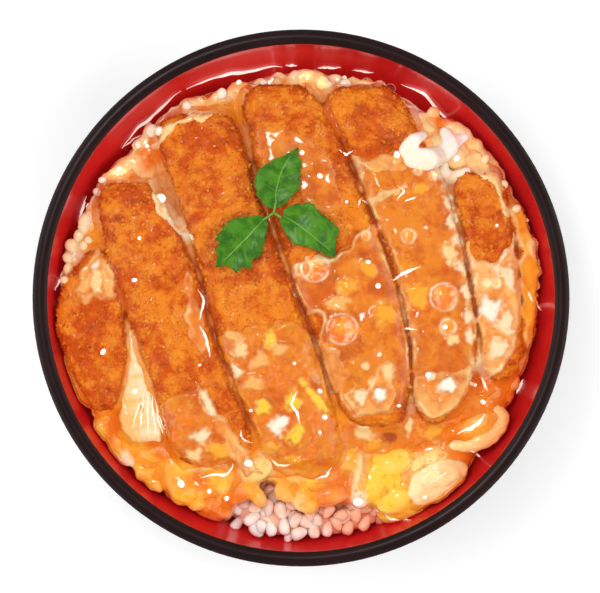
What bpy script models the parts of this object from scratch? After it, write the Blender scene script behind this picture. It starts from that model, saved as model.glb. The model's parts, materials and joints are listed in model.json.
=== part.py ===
"""Katsudon: a sliced pork cutlet with soft-set egg and a mitsuba leaf on rice, in a lacquer bowl.

Metres, +Z up. The origin is the centre of the foot's resting face. Seen from above, +Y is the far
side of the bowl and the slices run from the far left to the near right.
"""

import math
import random

import bmesh
import bpy
from mathutils import Matrix, Vector, noise
from mathutils.bvhtree import BVHTree

MM = 0.001

# Left between two pieces that touch.
GAP = 0.0004

# The bowl: its inner wall is a quarter ellipse hung from the rim.
RIM_RADIUS = 0.0825
RIM_HEIGHT = 0.080
RIM_WIDTH = 0.0046
RIM_ROUNDING = 0.0009
INNER_DEPTH = 0.066
OUTER_DEPTH = 0.073
FOOT_RADIUS = 0.038
FOOT_WIDTH = 0.0042
FOOT_FLARE = 0.0012
RECESS_HEIGHT = 0.0075
INNER_RADIUS = RIM_RADIUS - RIM_WIDTH
ROUND_STEPS = 44
WALL_STEPS = 8

# The bed is the domed surface on the egg that the slices lie on.
BED_TOP = 0.066
BED_DROP = 0.0045
BED_RADIUS = 0.070

# The rice lies under the bed, falls away at the wall, and rises to the wall on the near side.
EGG_THICKNESS = 0.0035
RICE_EDGE_DROP = 0.007
RICE_MOUND = 0.0085
RICE_MOUND_ANGLE = math.radians(-86)
RICE_MOUND_SPREAD = math.radians(34)
RICE_FALL_START = 0.054
RICE_RINGS = 6
RICE_BASE_RINGS = 4

# Cooked rice grains, fused to the mound where no egg covers it.
GRAIN_LENGTH = 0.0062
GRAIN_WIDTH = 0.0033
GRAIN_SEGMENTS = 6
GRAIN_RINGS = 3
# Rows of grains: distance from the axis, number of grains.
GRAIN_ROWS = (
    (0.0590, 8),
    (0.0620, 10),
    (0.0646, 12),
    (0.0672, 13),
    (0.0697, 14),
    (0.0720, 14),
)
GRAIN_ROW_SPREAD = math.radians(20)
GRAIN_SEED = 7

# Slices of the cutlet: thickness, then stations across the slice as (y, left x, right x) in millimetres.
SLICE_CLEARANCE = 0.0004
SLICE_SECTIONS = 15
SLICE_POINTS = 12
SLICE_BOXINESS = 6
END_SQUARENESS = 7
END_WIDTH = 0.80
END_HEIGHT = 0.50
SLICES = {
    "cutlet_slice_1": (
        0.0124,
        ((14.6, -65.8, -61.2), (8.6, -71.4, -58.0), (2.5, -74.6, -56.0), (-5.0, -76.0, -54.8),
         (-11.3, -75.6, -53.8), (-19.0, -73.2, -53.6), (-26.7, -69.6, -55.2), (-35.0, -64.2, -57.6)),
    ),
    "cutlet_slice_2": (
        0.0142,
        ((35.6, -60.4, -46.6), (30.1, -62.8, -42.8), (22.4, -62.0, -38.6), (10.1, -58.8, -32.8),
         (-0.6, -55.0, -30.0), (-14.4, -50.6, -26.4), (-26.7, -45.6, -21.8), (-39.0, -42.2, -16.4),
         (-46.4, -40.4, -14.8), (-51.2, -36.6, -18.2)),
    ),
    "cutlet_slice_3": (
        0.0156,
        ((56.8, -40.6, -21.6), (51.5, -45.0, -18.4), (43.8, -43.2, -16.4), (28.5, -37.2, -12.2),
         (10.1, -31.6, -5.2), (-0.6, -28.8, -1.2), (-12.9, -25.2, 3.6), (-26.7, -20.4, 8.0),
         (-39.0, -15.0, 11.4), (-46.6, -11.0, 12.6), (-52.0, -2.0, 9.6)),
    ),
    "cutlet_slice_4": (
        0.0164,
        ((65.6, -14.4, 1.4), (60.7, -18.6, 5.6), (53.0, -16.4, 10.2), (42.3, -14.2, 14.4),
         (31.6, -11.2, 18.6), (20.9, -7.6, 23.2), (10.1, -4.0, 27.0), (-0.6, 0.0, 30.2),
         (-12.9, 4.8, 32.6), (-26.7, 9.2, 33.6), (-35.4, 12.8, 32.8), (-39.8, 16.6, 30.4)),
    ),
    "cutlet_slice_5": (
        0.0152,
        ((65.0, 10.0, 27.6), (60.6, 6.8, 32.0), (51.5, 11.2, 36.6), (42.3, 15.6, 40.6),
         (31.6, 19.8, 45.2), (20.9, 24.4, 48.4), (10.1, 28.2, 50.4), (-0.6, 31.4, 52.6),
         (-12.9, 33.8, 54.4), (-25.2, 34.8, 52.8), (-32.8, 34.4, 49.4), (-38.6, 37.2, 43.4)),
    ),
    "cutlet_slice_6": (
        0.0130,
        ((38.8, 48.6, 60.6), (34.7, 47.0, 63.4), (25.5, 48.6, 64.8), (17.8, 50.4, 65.8),
         (8.6, 51.8, 67.0), (-0.6, 53.8, 68.0), (-12.9, 55.6, 68.6), (-20.2, 55.8, 68.0),
         (-25.4, 58.4, 64.6)),
    ),
    "cutlet_slice_7": (
        0.0084,
        ((30.0, 65.6, 68.2), (24.5, 66.2, 70.2), (15.0, 67.0, 73.2), (6.0, 68.2, 73.6),
         (-2.0, 69.0, 73.4), (-9.0, 69.6, 72.6), (-14.5, 69.8, 71.6)),
    ),
}

# Relief of the fried crust: slow swells and sharper crags, both cut into the slice.
SWELL_SIZE = 0.0110
SWELL_DEPTH = 0.0009
CRAG_SIZE = 0.0040
CRAG_DEPTH = 0.0008

# Soft-set egg: folds and curds round the slices, in millimetres, as
# (x, y, length, width, degrees turned from +X, height over the bed).
EGG_FOLDS = (
    # along the left and far-left wall
    (-67.2, 24.5, 10, 7, 60, 5.0),
    (-70.0, 16.0, 8, 7, 80, 4.6),
    (-64.6, 17.0, 7, 7, 0, 5.2),
    (-70.6, 9.6, 6, 6, 0, 4.0),
    (-62.6, 35.5, 11, 6, 55, 4.6),
    (-55.5, 40.8, 12, 8, 30, 7.0),
    (-48.4, 40.6, 10, 9, 120, 7.6),
    (-45.6, 29.0, 7, 24, 28, 11.0),
    (-46.8, 50.0, 7, 6, 40, 5.2),
    (-43.6, 53.8, 8, 6, 40, 5.6),
    (-38.4, 57.4, 11, 6, 35, 5.6),
    (-33.4, 60.8, 10, 6, 25, 5.4),
    (-26.4, 60.4, 9, 5, 5, 5.8),
    (-19.6, 64.6, 10, 8, 25, 6.0),
    # along the far wall
    (-12.4, 67.6, 8, 5, 10, 4.6),
    (-4.8, 68.2, 9, 5, 5, 4.8),
    (1.6, 69.0, 7, 5, 0, 5.4),
    (7.2, 67.6, 9, 7, -20, 6.2),
    (14.4, 67.4, 7, 5, 0, 4.6),
    (21.2, 67.6, 10, 5, -10, 5.0),
    (27.2, 65.4, 7, 6, -30, 5.4),
    (35.4, 59.2, 6, 13, 38, 7.6),
    (41.6, 55.8, 9, 7, -40, 6.0),
    (47.4, 52.8, 9, 7, -35, 5.6),
    (42.6, 47.0, 12, 10, -30, 11.4),
    (49.4, 43.4, 12, 10, -50, 9.4),
    (55.0, 44.4, 10, 7, -40, 6.4),
    (59.6, 40.8, 8, 7, -60, 6.0),
    # along the right wall
    (68.2, 33.0, 5, 8, 20, 6.0),
    (73.0, 13.0, 6, 14, 8, 6.2),
    (73.4, 1.0, 6, 14, 0, 6.2),
    (71.6, -10.0, 7, 12, -10, 6.6),
    (68.8, -20.6, 9, 11, -20, 6.2),
    (62.4, -29.4, 14, 9, 35, 6.6),
    # near right
    (57.0, -37.0, 14, 8, 40, 5.4),
    (50.6, -38.0, 14, 9, 25, 8.6),
    (60.0, -42.4, 15, 8, 55, 5.4),
    (40.0, -43.6, 18, 9, 8, 8.2),
    (23.6, -44.4, 14, 7, -8, 7.0),
    (29.6, -48.6, 15, 9, -20, 8.0),
    (46.0, -51.0, 20, 10, 35, 6.4),
    (27.4, -56.0, 20, 15, 20, 9.6),
    (32.6, -64.6, 21, 10, 14, 8.8),
    (42.4, -61.2, 16, 8, 32, 6.4),
    (22.4, -52.8, 18, 6, 55, 9.8),
    (18.2, -60.2, 7, 15, -6, 10.2),
    # near side, hanging over the rice
    (2.6, -58.6, 13, 12, 70, 9.4),
    (10.8, -59.6, 12, 11, 0, 9.0),
    (12.0, -50.0, 12, 9, 30, 8.0),
    (0.4, -54.4, 20, 8, 0, 9.4),
    (-11.6, -50.8, 10, 15, 35, 10.4),
    (-17.4, -42.4, 6, 17, 28, 9.0),
    # near left
    (-29.4, -51.6, 18, 8, 10, 12.0),
    (-36.6, -56.8, 17, 12, -20, 8.8),
    (-24.0, -60.4, 14, 12, 10, 8.0),
    (-27.6, -65.8, 13, 9, -12, 6.6),
    (-41.0, -61.4, 10, 7, -35, 5.6),
    (-47.4, -50.2, 14, 8, -20, 7.6),
    (-54.8, -49.4, 10, 8, -40, 7.0),
    (-58.2, -42.6, 11, 9, -50, 6.6),
    (-63.2, -36.4, 9, 9, 0, 6.4),
    (-68.4, -29.0, 8, 12, 24, 6.4),
    (-50.6, -27.0, 10, 30, 14, 8.0),
)
FOLD_ROUNDNESS = 0.62
EGG_VOXEL = 0.0011
EGG_TRIANGLES = 1900

# How far the plain layer of egg reaches from the bowl's axis, all round and on the near side.
EGG_REACH = 0.0715
EGG_REACH_NEAR = 0.0620

# Set egg white: a strip between the first two slices, with stations like a slice's, a curd bent
# round on itself, and a plump curd. Lengths are in millimetres.
STRIP_RISE = 0.0072
STRIP_THICKNESS = 0.0042
STRIP_SECTIONS = 9
STRIP_POINTS = 10
STRIP = (
    (-9.6, -53.2, -51.8), (-14.4, -53.0, -51.0), (-20.6, -53.0, -49.4), (-26.7, -54.2, -47.2),
    (-34.4, -56.4, -44.6), (-40.0, -56.0, -43.2), (-44.6, -52.8, -42.6),
)
BENT_CURD_CENTRE = (53.6, -39.6)
BENT_CURD_TURN = 25
BENT_CURD_REACH = (9.4, 5.4)
BENT_CURD_ARC = (-165, 30)
BENT_CURD_WIDTH = 5.6
BENT_CURD_THICKNESS = 5.4
BENT_CURD_RISE = 9.4
BENT_CURD_SECTIONS = 11
BENT_CURD_POINTS = 9
PLUMP_CURD_CENTRE = (42.0, -56.8)
PLUMP_CURD_TURN = 28
PLUMP_CURD_SIZE = (22.0, 12.4, 8.0)
PLUMP_CURD_RISE = 8.6
CURD_SWELL = 0.0007

# The mitsuba leaf: three toothed leaflets round a hub. Each row across a leaflet is its left edge,
# midrib and right edge as x and y from the hub, in millimetres, from the stalk to the tip.
LEAF_HUB = (-8.3, 26.1)
LEAF_THICKNESS = 0.0008
LEAF_RISE = 0.0176
LEAF_CUP = 0.0012
LEAF_WAVE = 0.0003
LEAFLETS = (
    ((-1.2, 1.2, 0.3, 1.8, 2.1, 1.8), (-4.9, 4.9, 0.6, 6.1, 5.2, 4.6), (-5.9, 10.1, 1.5, 10.1, 8.0, 8.0),
     (-4.6, 13.2, 2.8, 13.5, 8.0, 12.3), (-0.6, 15.8, 4.3, 16.3, 8.5, 15.6),
     (4.0, 17.8, 5.7, 18.0, 7.2, 17.4), (7.4, 19.8)),
    ((-1.8, -3.4, -2.5, -1.8, -3.7, -0.8), (-2.8, -8.6, -5.5, -4.6, -8.3, -1.2),
     (-4.0, -13.2, -8.0, -7.4, -13.2, -2.1), (-6.6, -14.4, -9.6, -9.0, -15.3, -4.5),
     (-7.1, -17.3, -11.0, -10.4, -17.9, -7.9), (-9.5, -16.6, -12.2, -11.6, -16.6, -9.2),
     (-11.3, -18.4, -13.4, -12.8, -17.8, -11.3), (-14.2, -16.1, -15.4, -14.7, -17.3, -13.2),
     (-17.6, -16.7)),
    ((3.1, 0.9, 2.8, -0.9, 1.8, -2.5), (6.4, 2.5, 6.1, -2.8, 3.7, -6.7),
     (11.7, 2.9, 9.2, -5.2, 6.4, -9.8), (13.2, 0.6, 11.7, -7.1, 8.9, -10.1),
     (17.2, -2.5, 13.8, -8.9, 12.3, -11.3), (19.9, -5.2, 16.0, -10.7, 14.1, -12.0),
     (19.0, -7.7, 17.2, -11.7, 16.3, -13.2), (18.4, -13.4)),
)
STALK_RADIUS = 0.0009
STALK_LENGTH = 0.0052
STALK_DEGREES = (80, 215, -35)
STALK_TWIST = 0.3

COLOURS = {
    # base colour, roughness
    "bowl": ((0.035, 0.020, 0.020), 0.25),
    "rice": ((0.90, 0.84, 0.76), 0.45),
    "egg": ((0.93, 0.60, 0.20), 0.30),
    "crust": ((0.68, 0.30, 0.08), 0.55),
    "egg_white": ((0.93, 0.80, 0.56), 0.30),
    "leaf": ((0.10, 0.33, 0.07), 0.45),
}


def clear_scene():
    for old in list(bpy.data.objects):
        bpy.data.objects.remove(old, do_unlink=True)


def material(name):
    """The named finish, made on first use."""
    if name in bpy.data.materials:
        return bpy.data.materials[name]
    made = bpy.data.materials.new(name)
    made.use_nodes = True
    colour, roughness = COLOURS[name]
    shader = made.node_tree.nodes["Principled BSDF"]
    shader.inputs["Base Color"].default_value = (*colour, 1.0)
    shader.inputs["Roughness"].default_value = roughness
    shader.inputs["Metallic"].default_value = 0.0
    return made


def add_object(name, mesh, finish=None):
    thing = bpy.data.objects.new(name, mesh)
    bpy.context.scene.collection.objects.link(thing)
    if finish:
        mesh.materials.append(material(finish))
        mesh.shade_smooth()
    return thing


def mesh_from(name, bm):
    """Writes a bmesh out with its faces turned outwards."""
    bmesh.ops.recalc_face_normals(bm, faces=bm.faces)
    mesh = bpy.data.meshes.new(name)
    bm.to_mesh(mesh)
    bm.free()
    return mesh


def skin_over(name, rings, first_tip=None, last_tip=None):
    """A closed skin of triangles over rings of points. Each end is one face, or a fan to a tip point.

    Skins over rings with the same layout are split alike, so a gap between two of them is even.
    """
    bm = bmesh.new()
    loops = [[bm.verts.new(point) for point in ring] for ring in rings]
    for near, far in zip(loops, loops[1:]):
        for i in range(len(near)):
            j = (i + 1) % len(near)
            bm.faces.new((near[i], near[j], far[j]))
            bm.faces.new((near[i], far[j], far[i]))
    for loop, tip in ((loops[0], first_tip), (loops[-1], last_tip)):
        if tip is None:
            bm.faces.new(loop)
            continue
        point = bm.verts.new(tip)
        for i in range(len(loop)):
            bm.faces.new((loop[i], loop[(i + 1) % len(loop)], point))
    return mesh_from(name, bm)


def use_modifier(thing, kind, **settings):
    """Adds a modifier, applies it and leaves its result as the object's mesh."""
    modifier = thing.modifiers.new(kind.lower(), kind)
    for setting, value in settings.items():
        setattr(modifier, setting, value)
    graph = bpy.context.evaluated_depsgraph_get()
    made = bpy.data.meshes.new_from_object(thing.evaluated_get(graph))
    thing.modifiers.clear()
    thing.data = made


def gathered(name, things):
    """A collection that holds these objects, for one Boolean."""
    collection = bpy.data.collections.new(name)
    bpy.context.scene.collection.children.link(collection)
    for thing in things:
        bpy.context.scene.collection.objects.unlink(thing)
        collection.objects.link(thing)
    return collection


def boolean(thing, operation, others):
    """Applies one Boolean with a group of objects, then removes the group."""
    collection = gathered(thing.name + "_" + operation.lower(), others)
    use_modifier(thing, "BOOLEAN", operation=operation, solver="EXACT",
                 operand_type="COLLECTION", collection=collection)
    for other in others:
        bpy.data.objects.remove(other, do_unlink=True)
    bpy.data.collections.remove(collection)


def smooth_step(value, low, high):
    share = min(1.0, max(0.0, (value - low) / (high - low)))
    return share * share * (3 - 2 * share)


def wall_height(radius):
    """Height of the bowl's inner wall at a distance from its axis."""
    share = min(1.0, radius / INNER_RADIUS)
    return RIM_HEIGHT - INNER_DEPTH * math.sqrt(1 - share * share)


def wall_radius(height):
    """Distance of the bowl's inner wall from its axis at a height."""
    share = min(1.0, (RIM_HEIGHT - height) / INNER_DEPTH)
    return INNER_RADIUS * math.sqrt(1 - share * share)


def bed_height(x, y):
    """Height of the surface that the slices lie on."""
    return BED_TOP - BED_DROP * (x * x + y * y) / BED_RADIUS**2


def mound_share(angle):
    """1 in the middle of the near side, where the rice rises to the wall, and 0 away from it."""
    turn = (angle - RICE_MOUND_ANGLE + math.pi) % (2 * math.pi) - math.pi
    return 1 - smooth_step(abs(turn), 0.35 * RICE_MOUND_SPREAD, RICE_MOUND_SPREAD)


def rice_height(radius, angle):
    """Height of the top of the rice."""
    fall = smooth_step(radius, RICE_FALL_START, INNER_RADIUS)
    mound = mound_share(angle)
    under_egg = bed_height(radius, 0) - EGG_THICKNESS
    return under_egg - (1 - mound) * RICE_EDGE_DROP * fall + mound * RICE_MOUND * fall


def rice_edge(angle):
    """How far from the axis the top of the rice meets the wall, found by halving."""
    low, high = RICE_FALL_START, INNER_RADIUS
    for _ in range(30):
        middle = (low + high) / 2
        if rice_height(middle, angle) > wall_height(middle):
            low = middle
        else:
            high = middle
    return low


def round_angles():
    return [2 * math.pi * step / ROUND_STEPS for step in range(ROUND_STEPS)]


def polar(radius, angle, height):
    return Vector((radius * math.cos(angle), radius * math.sin(angle), height))


def bowl_profile():
    """Half section of the bowl, from the axis inside, over the rim and under the foot, to the axis."""
    inner = []
    for step in range(1, WALL_STEPS + 1):
        turn = math.pi / 2 * step / WALL_STEPS
        inner.append((INNER_RADIUS * math.sin(turn), RIM_HEIGHT - INNER_DEPTH * math.cos(turn)))
    inner[-1] = (INNER_RADIUS, RIM_HEIGHT - RIM_ROUNDING)
    rim = [
        (INNER_RADIUS + RIM_ROUNDING, RIM_HEIGHT),
        (RIM_RADIUS - RIM_ROUNDING, RIM_HEIGHT),
        (RIM_RADIUS, RIM_HEIGHT - RIM_ROUNDING),
    ]
    foot_turn = math.asin((FOOT_RADIUS - FOOT_FLARE) / RIM_RADIUS)
    outer = []
    for step in range(1, WALL_STEPS):
        turn = math.pi / 2 + (foot_turn - math.pi / 2) * step / (WALL_STEPS - 1)
        outer.append((RIM_RADIUS * math.sin(turn), RIM_HEIGHT - OUTER_DEPTH * math.cos(turn)))
    foot = [
        (FOOT_RADIUS, RIM_ROUNDING),
        (FOOT_RADIUS - RIM_ROUNDING, 0),
        (FOOT_RADIUS - FOOT_WIDTH, 0),
        (FOOT_RADIUS - FOOT_WIDTH - FOOT_FLARE, RECESS_HEIGHT),
    ]
    start = (0, RIM_HEIGHT - INNER_DEPTH)
    return [start, *inner, *rim, *outer, *foot, (0, RECESS_HEIGHT)]


def make_bowl():
    """The lacquer bowl, turned in one piece from its half section."""
    bm = bmesh.new()
    points = [bm.verts.new((radius, 0, height)) for radius, height in bowl_profile()]
    edges = [bm.edges.new(pair) for pair in zip(points, points[1:])]
    bmesh.ops.spin(bm, geom=points + edges, cent=(0, 0, 0), axis=(0, 0, 1), dvec=(0, 0, 0),
                   angle=2 * math.pi, steps=ROUND_STEPS, use_merge=True)
    bmesh.ops.remove_doubles(bm, verts=bm.verts, dist=0.1 * MM)
    return add_object("bowl", mesh_from("bowl", bm), "bowl")


def rice_top_rings(lift):
    """Rings of points on top of the rice, from the middle to the wall, raised by lift."""
    rings = []
    for ring in range(1, RICE_RINGS + 1):
        points = []
        for angle in round_angles():
            reach = rice_edge(angle) - GAP
            radius = reach * (ring / RICE_RINGS) ** 0.8
            points.append(polar(radius, angle, rice_height(radius, angle) + lift))
        rings.append(points)
    return rings


def rice_core():
    """The heap of rice without its loose grains: it fills the bowl up to the egg."""
    top = rice_top_rings(0)
    base = []
    for ring in range(1, RICE_BASE_RINGS + 1):
        points = []
        for angle, edge in zip(round_angles(), top[-1]):
            share = 1 - ring / (RICE_BASE_RINGS + 1)
            floor = RIM_HEIGHT - INNER_DEPTH + GAP
            height = floor + (edge.z - floor) * share**1.8
            points.append(polar(wall_radius(height - GAP) - GAP, angle, height))
        base.append(points)
    middle = Vector((0, 0, rice_height(0, 0)))
    floor_point = Vector((0, 0, RIM_HEIGHT - INNER_DEPTH + GAP))
    return skin_over("rice", [*top, *base], middle, floor_point)


def make_grain(name, place, turn, lean, extra=0):
    """One cooked grain: a short, blunt ellipsoid of few faces."""
    bm = bmesh.new()
    half_length = GRAIN_LENGTH / 2 + extra
    half_width = GRAIN_WIDTH / 2 + extra
    matrix = (Matrix.Translation(place) @ Matrix.Rotation(turn, 4, "Z")
              @ Matrix.Rotation(lean, 4, "Y") @ Matrix.Diagonal((half_length, half_width, half_width, 1))
              @ Matrix.Rotation(math.pi / 2, 4, "Y"))
    bmesh.ops.create_uvsphere(bm, u_segments=GRAIN_SEGMENTS, v_segments=GRAIN_RINGS, radius=1,
                              matrix=matrix)
    return add_object(name, mesh_from(name, bm))


def surface_tree(thing):
    """The object's surface, to test others against."""
    bm = bmesh.new()
    bm.from_mesh(thing.data)
    tree = BVHTree.FromBMesh(bm)
    bm.free()
    return tree


def is_clear(place, turn, lean, trees):
    """Whether a grain, with a gap round it, stays off all these surfaces."""
    grain = make_grain("trial", place, turn, lean, GAP)
    tree = surface_tree(grain)
    bpy.data.objects.remove(grain, do_unlink=True)
    return not any(tree.overlap(other) for other in trees)


def make_rice(neighbours):
    """The rice: its core, with grains fused on where nothing covers it."""
    rice = add_object("rice", rice_core(), "rice")
    trees = [surface_tree(thing) for thing in neighbours]
    draw = random.Random(GRAIN_SEED)
    grains = []
    for radius, count in GRAIN_ROWS:
        for number in range(count):
            share = (number + 0.5) / count - 0.5 + draw.uniform(-0.12, 0.12) / count
            angle = RICE_MOUND_ANGLE + 2 * GRAIN_ROW_SPREAD * share
            reach = min(radius + draw.uniform(-1, 1) * MM, rice_edge(angle) - 0.6 * GRAIN_LENGTH)
            place = polar(reach, angle, rice_height(reach, angle) + 0.25 * GRAIN_WIDTH)
            turn = draw.uniform(0, math.pi)
            lean = draw.uniform(-0.35, 0.35)
            if is_clear(place, turn, lean, trees):
                grains.append(make_grain(f"grain_{len(grains)}", place, turn, lean))
    boolean(rice, "UNION", grains)
    return rice


def bowl_inside():
    """The space inside the bowl, a gap away from its wall and open above the rim."""
    rings = []
    for step in range(1, 2 * WALL_STEPS + 1):
        turn = math.pi / 2 * step / (2 * WALL_STEPS)
        radius = INNER_RADIUS * math.sin(turn) - GAP * math.sin(turn) - 0.1 * MM
        height = RIM_HEIGHT - INNER_DEPTH * math.cos(turn) + GAP * math.cos(turn)
        rings.append([polar(radius, angle, height) for angle in round_angles()])
    rings.append([point + Vector((0, 0, 30 * MM)) for point in rings[-1]])
    floor = Vector((0, 0, RIM_HEIGHT - INNER_DEPTH + GAP))
    return add_object("bowl_inside", skin_over("bowl_inside", rings, floor))


def rice_outline():
    """A body over the rice, a gap larger, that the egg is cut with."""
    top = rice_top_rings(GAP)
    wide = [[Vector((p.x * 1.05, p.y * 1.05, p.z)) for p in top[-1]]]
    below = [[Vector((p.x, p.y, 0)) for p in wide[0]]]
    middle = Vector((0, 0, rice_height(0, 0) + GAP))
    mesh = skin_over("rice_outline", [*top, *wide, *below], middle)
    return add_object("rice_outline", mesh)


def along(stations, share):
    """Left and right edge and y at a share of a slice's length, on a smooth curve through its stations."""
    spans = len(stations) - 1
    place = share * spans
    index = min(int(place), spans - 1)
    t = place - index
    picked = [stations[min(max(index + k, 0), spans)] for k in (-1, 0, 1, 2)]
    values = []
    for a, b, c, d in zip(*picked):
        values.append(0.5 * (2 * b + (c - a) * t + (2 * a - 5 * b + 4 * c - d) * t**2
                             + (3 * b - a - 3 * c + d) * t**3) * MM)
    y, left, right = values
    return left, right, y


def blunt(value, power):
    return math.copysign(abs(value) ** (2 / power), value)


def crust_depth(point, share):
    """How deep the crust's relief cuts in at a point. The cut faces at the sides are smoother."""
    swell = 0.5 + 0.5 * noise.noise(point / SWELL_SIZE)
    crag = abs(noise.noise(point / CRAG_SIZE + Vector((31, 7, 12))))
    return (SWELL_DEPTH * swell + CRAG_DEPTH * crag) * (0.15 + 0.85 * share)


def bar_rings(stations, thickness, rise, clearance, relief, sections, points):
    """Rings round a bar that lies on the bed, along its stations, with blunt ends and rounded edges."""
    rings = []
    for section in range(sections + 1):
        share = 0.5 - 0.5 * math.cos(math.pi * (0.04 + 0.92 * section / sections))
        left, right, y = along(stations, share)
        y += clearance * math.copysign(smooth_step(abs(2 * share - 1), 0.8, 0.98), 0.5 - share)
        end = (1 - abs(2 * share - 1) ** END_SQUARENESS) ** 0.42
        half_width = (right - left) / 2 * (END_WIDTH + (1 - END_WIDTH) * end) + clearance
        half_height = thickness / 2 * (END_HEIGHT + (1 - END_HEIGHT) * end) + clearance
        centre_x = (left + right) / 2
        ring = []
        for step in range(points):
            turn = 2 * math.pi * (step + 0.5) / points
            across = blunt(math.cos(turn), SLICE_BOXINESS)
            up = blunt(math.sin(turn), SLICE_BOXINESS)
            x = centre_x + half_width * across
            height = bed_height(x, y) + rise + GAP + thickness / 2 + half_height * up
            point = Vector((x, y, height))
            if relief:
                crusted = max(0, up) ** 2 if end > 0.6 else 1
                point += Vector((-across, 0, -up)).normalized() * crust_depth(point, crusted)
            ring.append(point)
        rings.append(ring)
    return rings


def make_slice(name, thickness, stations):
    """One slice of the cutlet, with the relief of its fried crust, kept clear of the wall."""
    rings = bar_rings(stations, thickness, 0, 0, True, SLICE_SECTIONS, SLICE_POINTS)
    keep_off_wall(add_object(name, skin_over(name, rings), "crust"))


def slice_cutter(name, thickness, stations):
    """The room that a slice takes in the egg."""
    rings = bar_rings(stations, thickness, 0, SLICE_CLEARANCE, False, SLICE_SECTIONS, SLICE_POINTS)
    return add_object("room_for_" + name, skin_over("room_for_" + name, rings))


def strip_skin(clearance):
    rings = bar_rings(STRIP, STRIP_THICKNESS, STRIP_RISE, clearance, False, STRIP_SECTIONS, STRIP_POINTS)
    return skin_over("egg_white_strip", rings)


def placed(x, y, centre, degrees):
    """A flat point given from a centre, turned and set down there, all in millimetres."""
    turn = math.radians(degrees)
    return Vector((
        (centre[0] + x * math.cos(turn) - y * math.sin(turn)) * MM,
        (centre[1] + x * math.sin(turn) + y * math.cos(turn)) * MM,
        0,
    ))


def bent_curd_skin(clearance):
    """An oval section swept along part of an ellipse, thin at both ends and full in the middle."""
    rings = []
    for section in range(BENT_CURD_SECTIONS):
        share = section / (BENT_CURD_SECTIONS - 1)
        turn = math.radians(BENT_CURD_ARC[0] + (BENT_CURD_ARC[1] - BENT_CURD_ARC[0]) * share)
        full = 0.25 + 0.75 * math.sin(math.pi * (0.06 + 0.88 * share)) ** 0.6
        ring = []
        for step in range(BENT_CURD_POINTS):
            round_turn = 2 * math.pi * step / BENT_CURD_POINTS
            out = (BENT_CURD_WIDTH / 2 * full + clearance / MM) * math.cos(round_turn)
            up = (BENT_CURD_THICKNESS / 2 * full + clearance / MM) * math.sin(round_turn)
            x = (BENT_CURD_REACH[0] + out) * math.cos(turn)
            y = (BENT_CURD_REACH[1] + out) * math.sin(turn)
            flat = placed(x, y, BENT_CURD_CENTRE, BENT_CURD_TURN)
            ring.append(flat + Vector((0, 0, bed_height(flat.x, flat.y) + (BENT_CURD_RISE + up) * MM)))
        rings.append(ring)
    return skin_over("egg_white_curd_bent", rings)


def plump_curd_skin(clearance):
    """An ellipsoid with slow swells."""
    bm = bmesh.new()
    bmesh.ops.create_icosphere(bm, subdivisions=3, radius=1)
    for vert in bm.verts:
        way = vert.co.copy()
        swell = CURD_SWELL * noise.noise(1.8 * way) / MM + clearance / MM
        x, y, up = (way[i] * (PLUMP_CURD_SIZE[i] / 2 + swell) for i in range(3))
        vert.co = placed(x, y, PLUMP_CURD_CENTRE, PLUMP_CURD_TURN)
        vert.co.z = bed_height(vert.co.x, vert.co.y) + (PLUMP_CURD_RISE + up) * MM
    return mesh_from("egg_white_curd_plump", bm)


CURD_SKINS = {
    "egg_white_strip": strip_skin,
    "egg_white_curd_bent": bent_curd_skin,
    "egg_white_curd_plump": plump_curd_skin,
}


def make_curds():
    """The three curds of set egg white."""
    for name, skin in CURD_SKINS.items():
        curd = add_object(name, skin(0), "egg_white")
        keep_off_wall(curd)


def curd_cutters():
    """The room that each curd takes in the egg."""
    return [add_object("room_for_" + name, skin(GAP)) for name, skin in CURD_SKINS.items()]


def keep_off_wall(thing):
    """Trims what would reach into the bowl's wall."""
    if any(p.co.z < wall_height(math.hypot(p.co.x, p.co.y)) + 2 * GAP for p in thing.data.vertices):
        boolean(thing, "INTERSECT", [bowl_inside()])


def egg_reach(angle):
    """How far the plain layer of egg reaches from the axis. It stops short over the bare rice."""
    near = mound_share(angle)
    return EGG_REACH * (1 - near) + EGG_REACH_NEAR * near


def egg_layer():
    """The layer of egg that the slices lie on."""
    rings = []
    for share in (0.35, 0.65, 0.85, 0.96):
        rings.append([polar(egg_reach(a) * share, a, bed_height(egg_reach(a) * share, 0))
                      for a in round_angles()])
    rings.append([polar(egg_reach(a), a, bed_height(egg_reach(a), 0) - 2 * MM)
                  for a in round_angles()])
    rings.append([p - Vector((0, 0, 14 * MM)) for p in rings[-1]])
    return add_object("egg", skin_over("egg", rings, Vector((0, 0, BED_TOP))), "egg")


def egg_fold(fold):
    """One fold or curd of egg: an ellipsoid, sunk in the layer."""
    x, y, length, width, turn, height = fold
    bm = bmesh.new()
    sunk = (1 - FOLD_ROUNDNESS) * height * MM
    place = Vector((x * MM, y * MM, bed_height(x * MM, y * MM) + sunk))
    size = Matrix.Diagonal((length / 2 * MM, width / 2 * MM, height * FOLD_ROUNDNESS * MM, 1))
    matrix = Matrix.Translation(place) @ Matrix.Rotation(math.radians(turn), 4, "Z") @ size
    bmesh.ops.create_icosphere(bm, subdivisions=3, radius=1, matrix=matrix)
    return add_object("fold", mesh_from("fold", bm))


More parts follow.
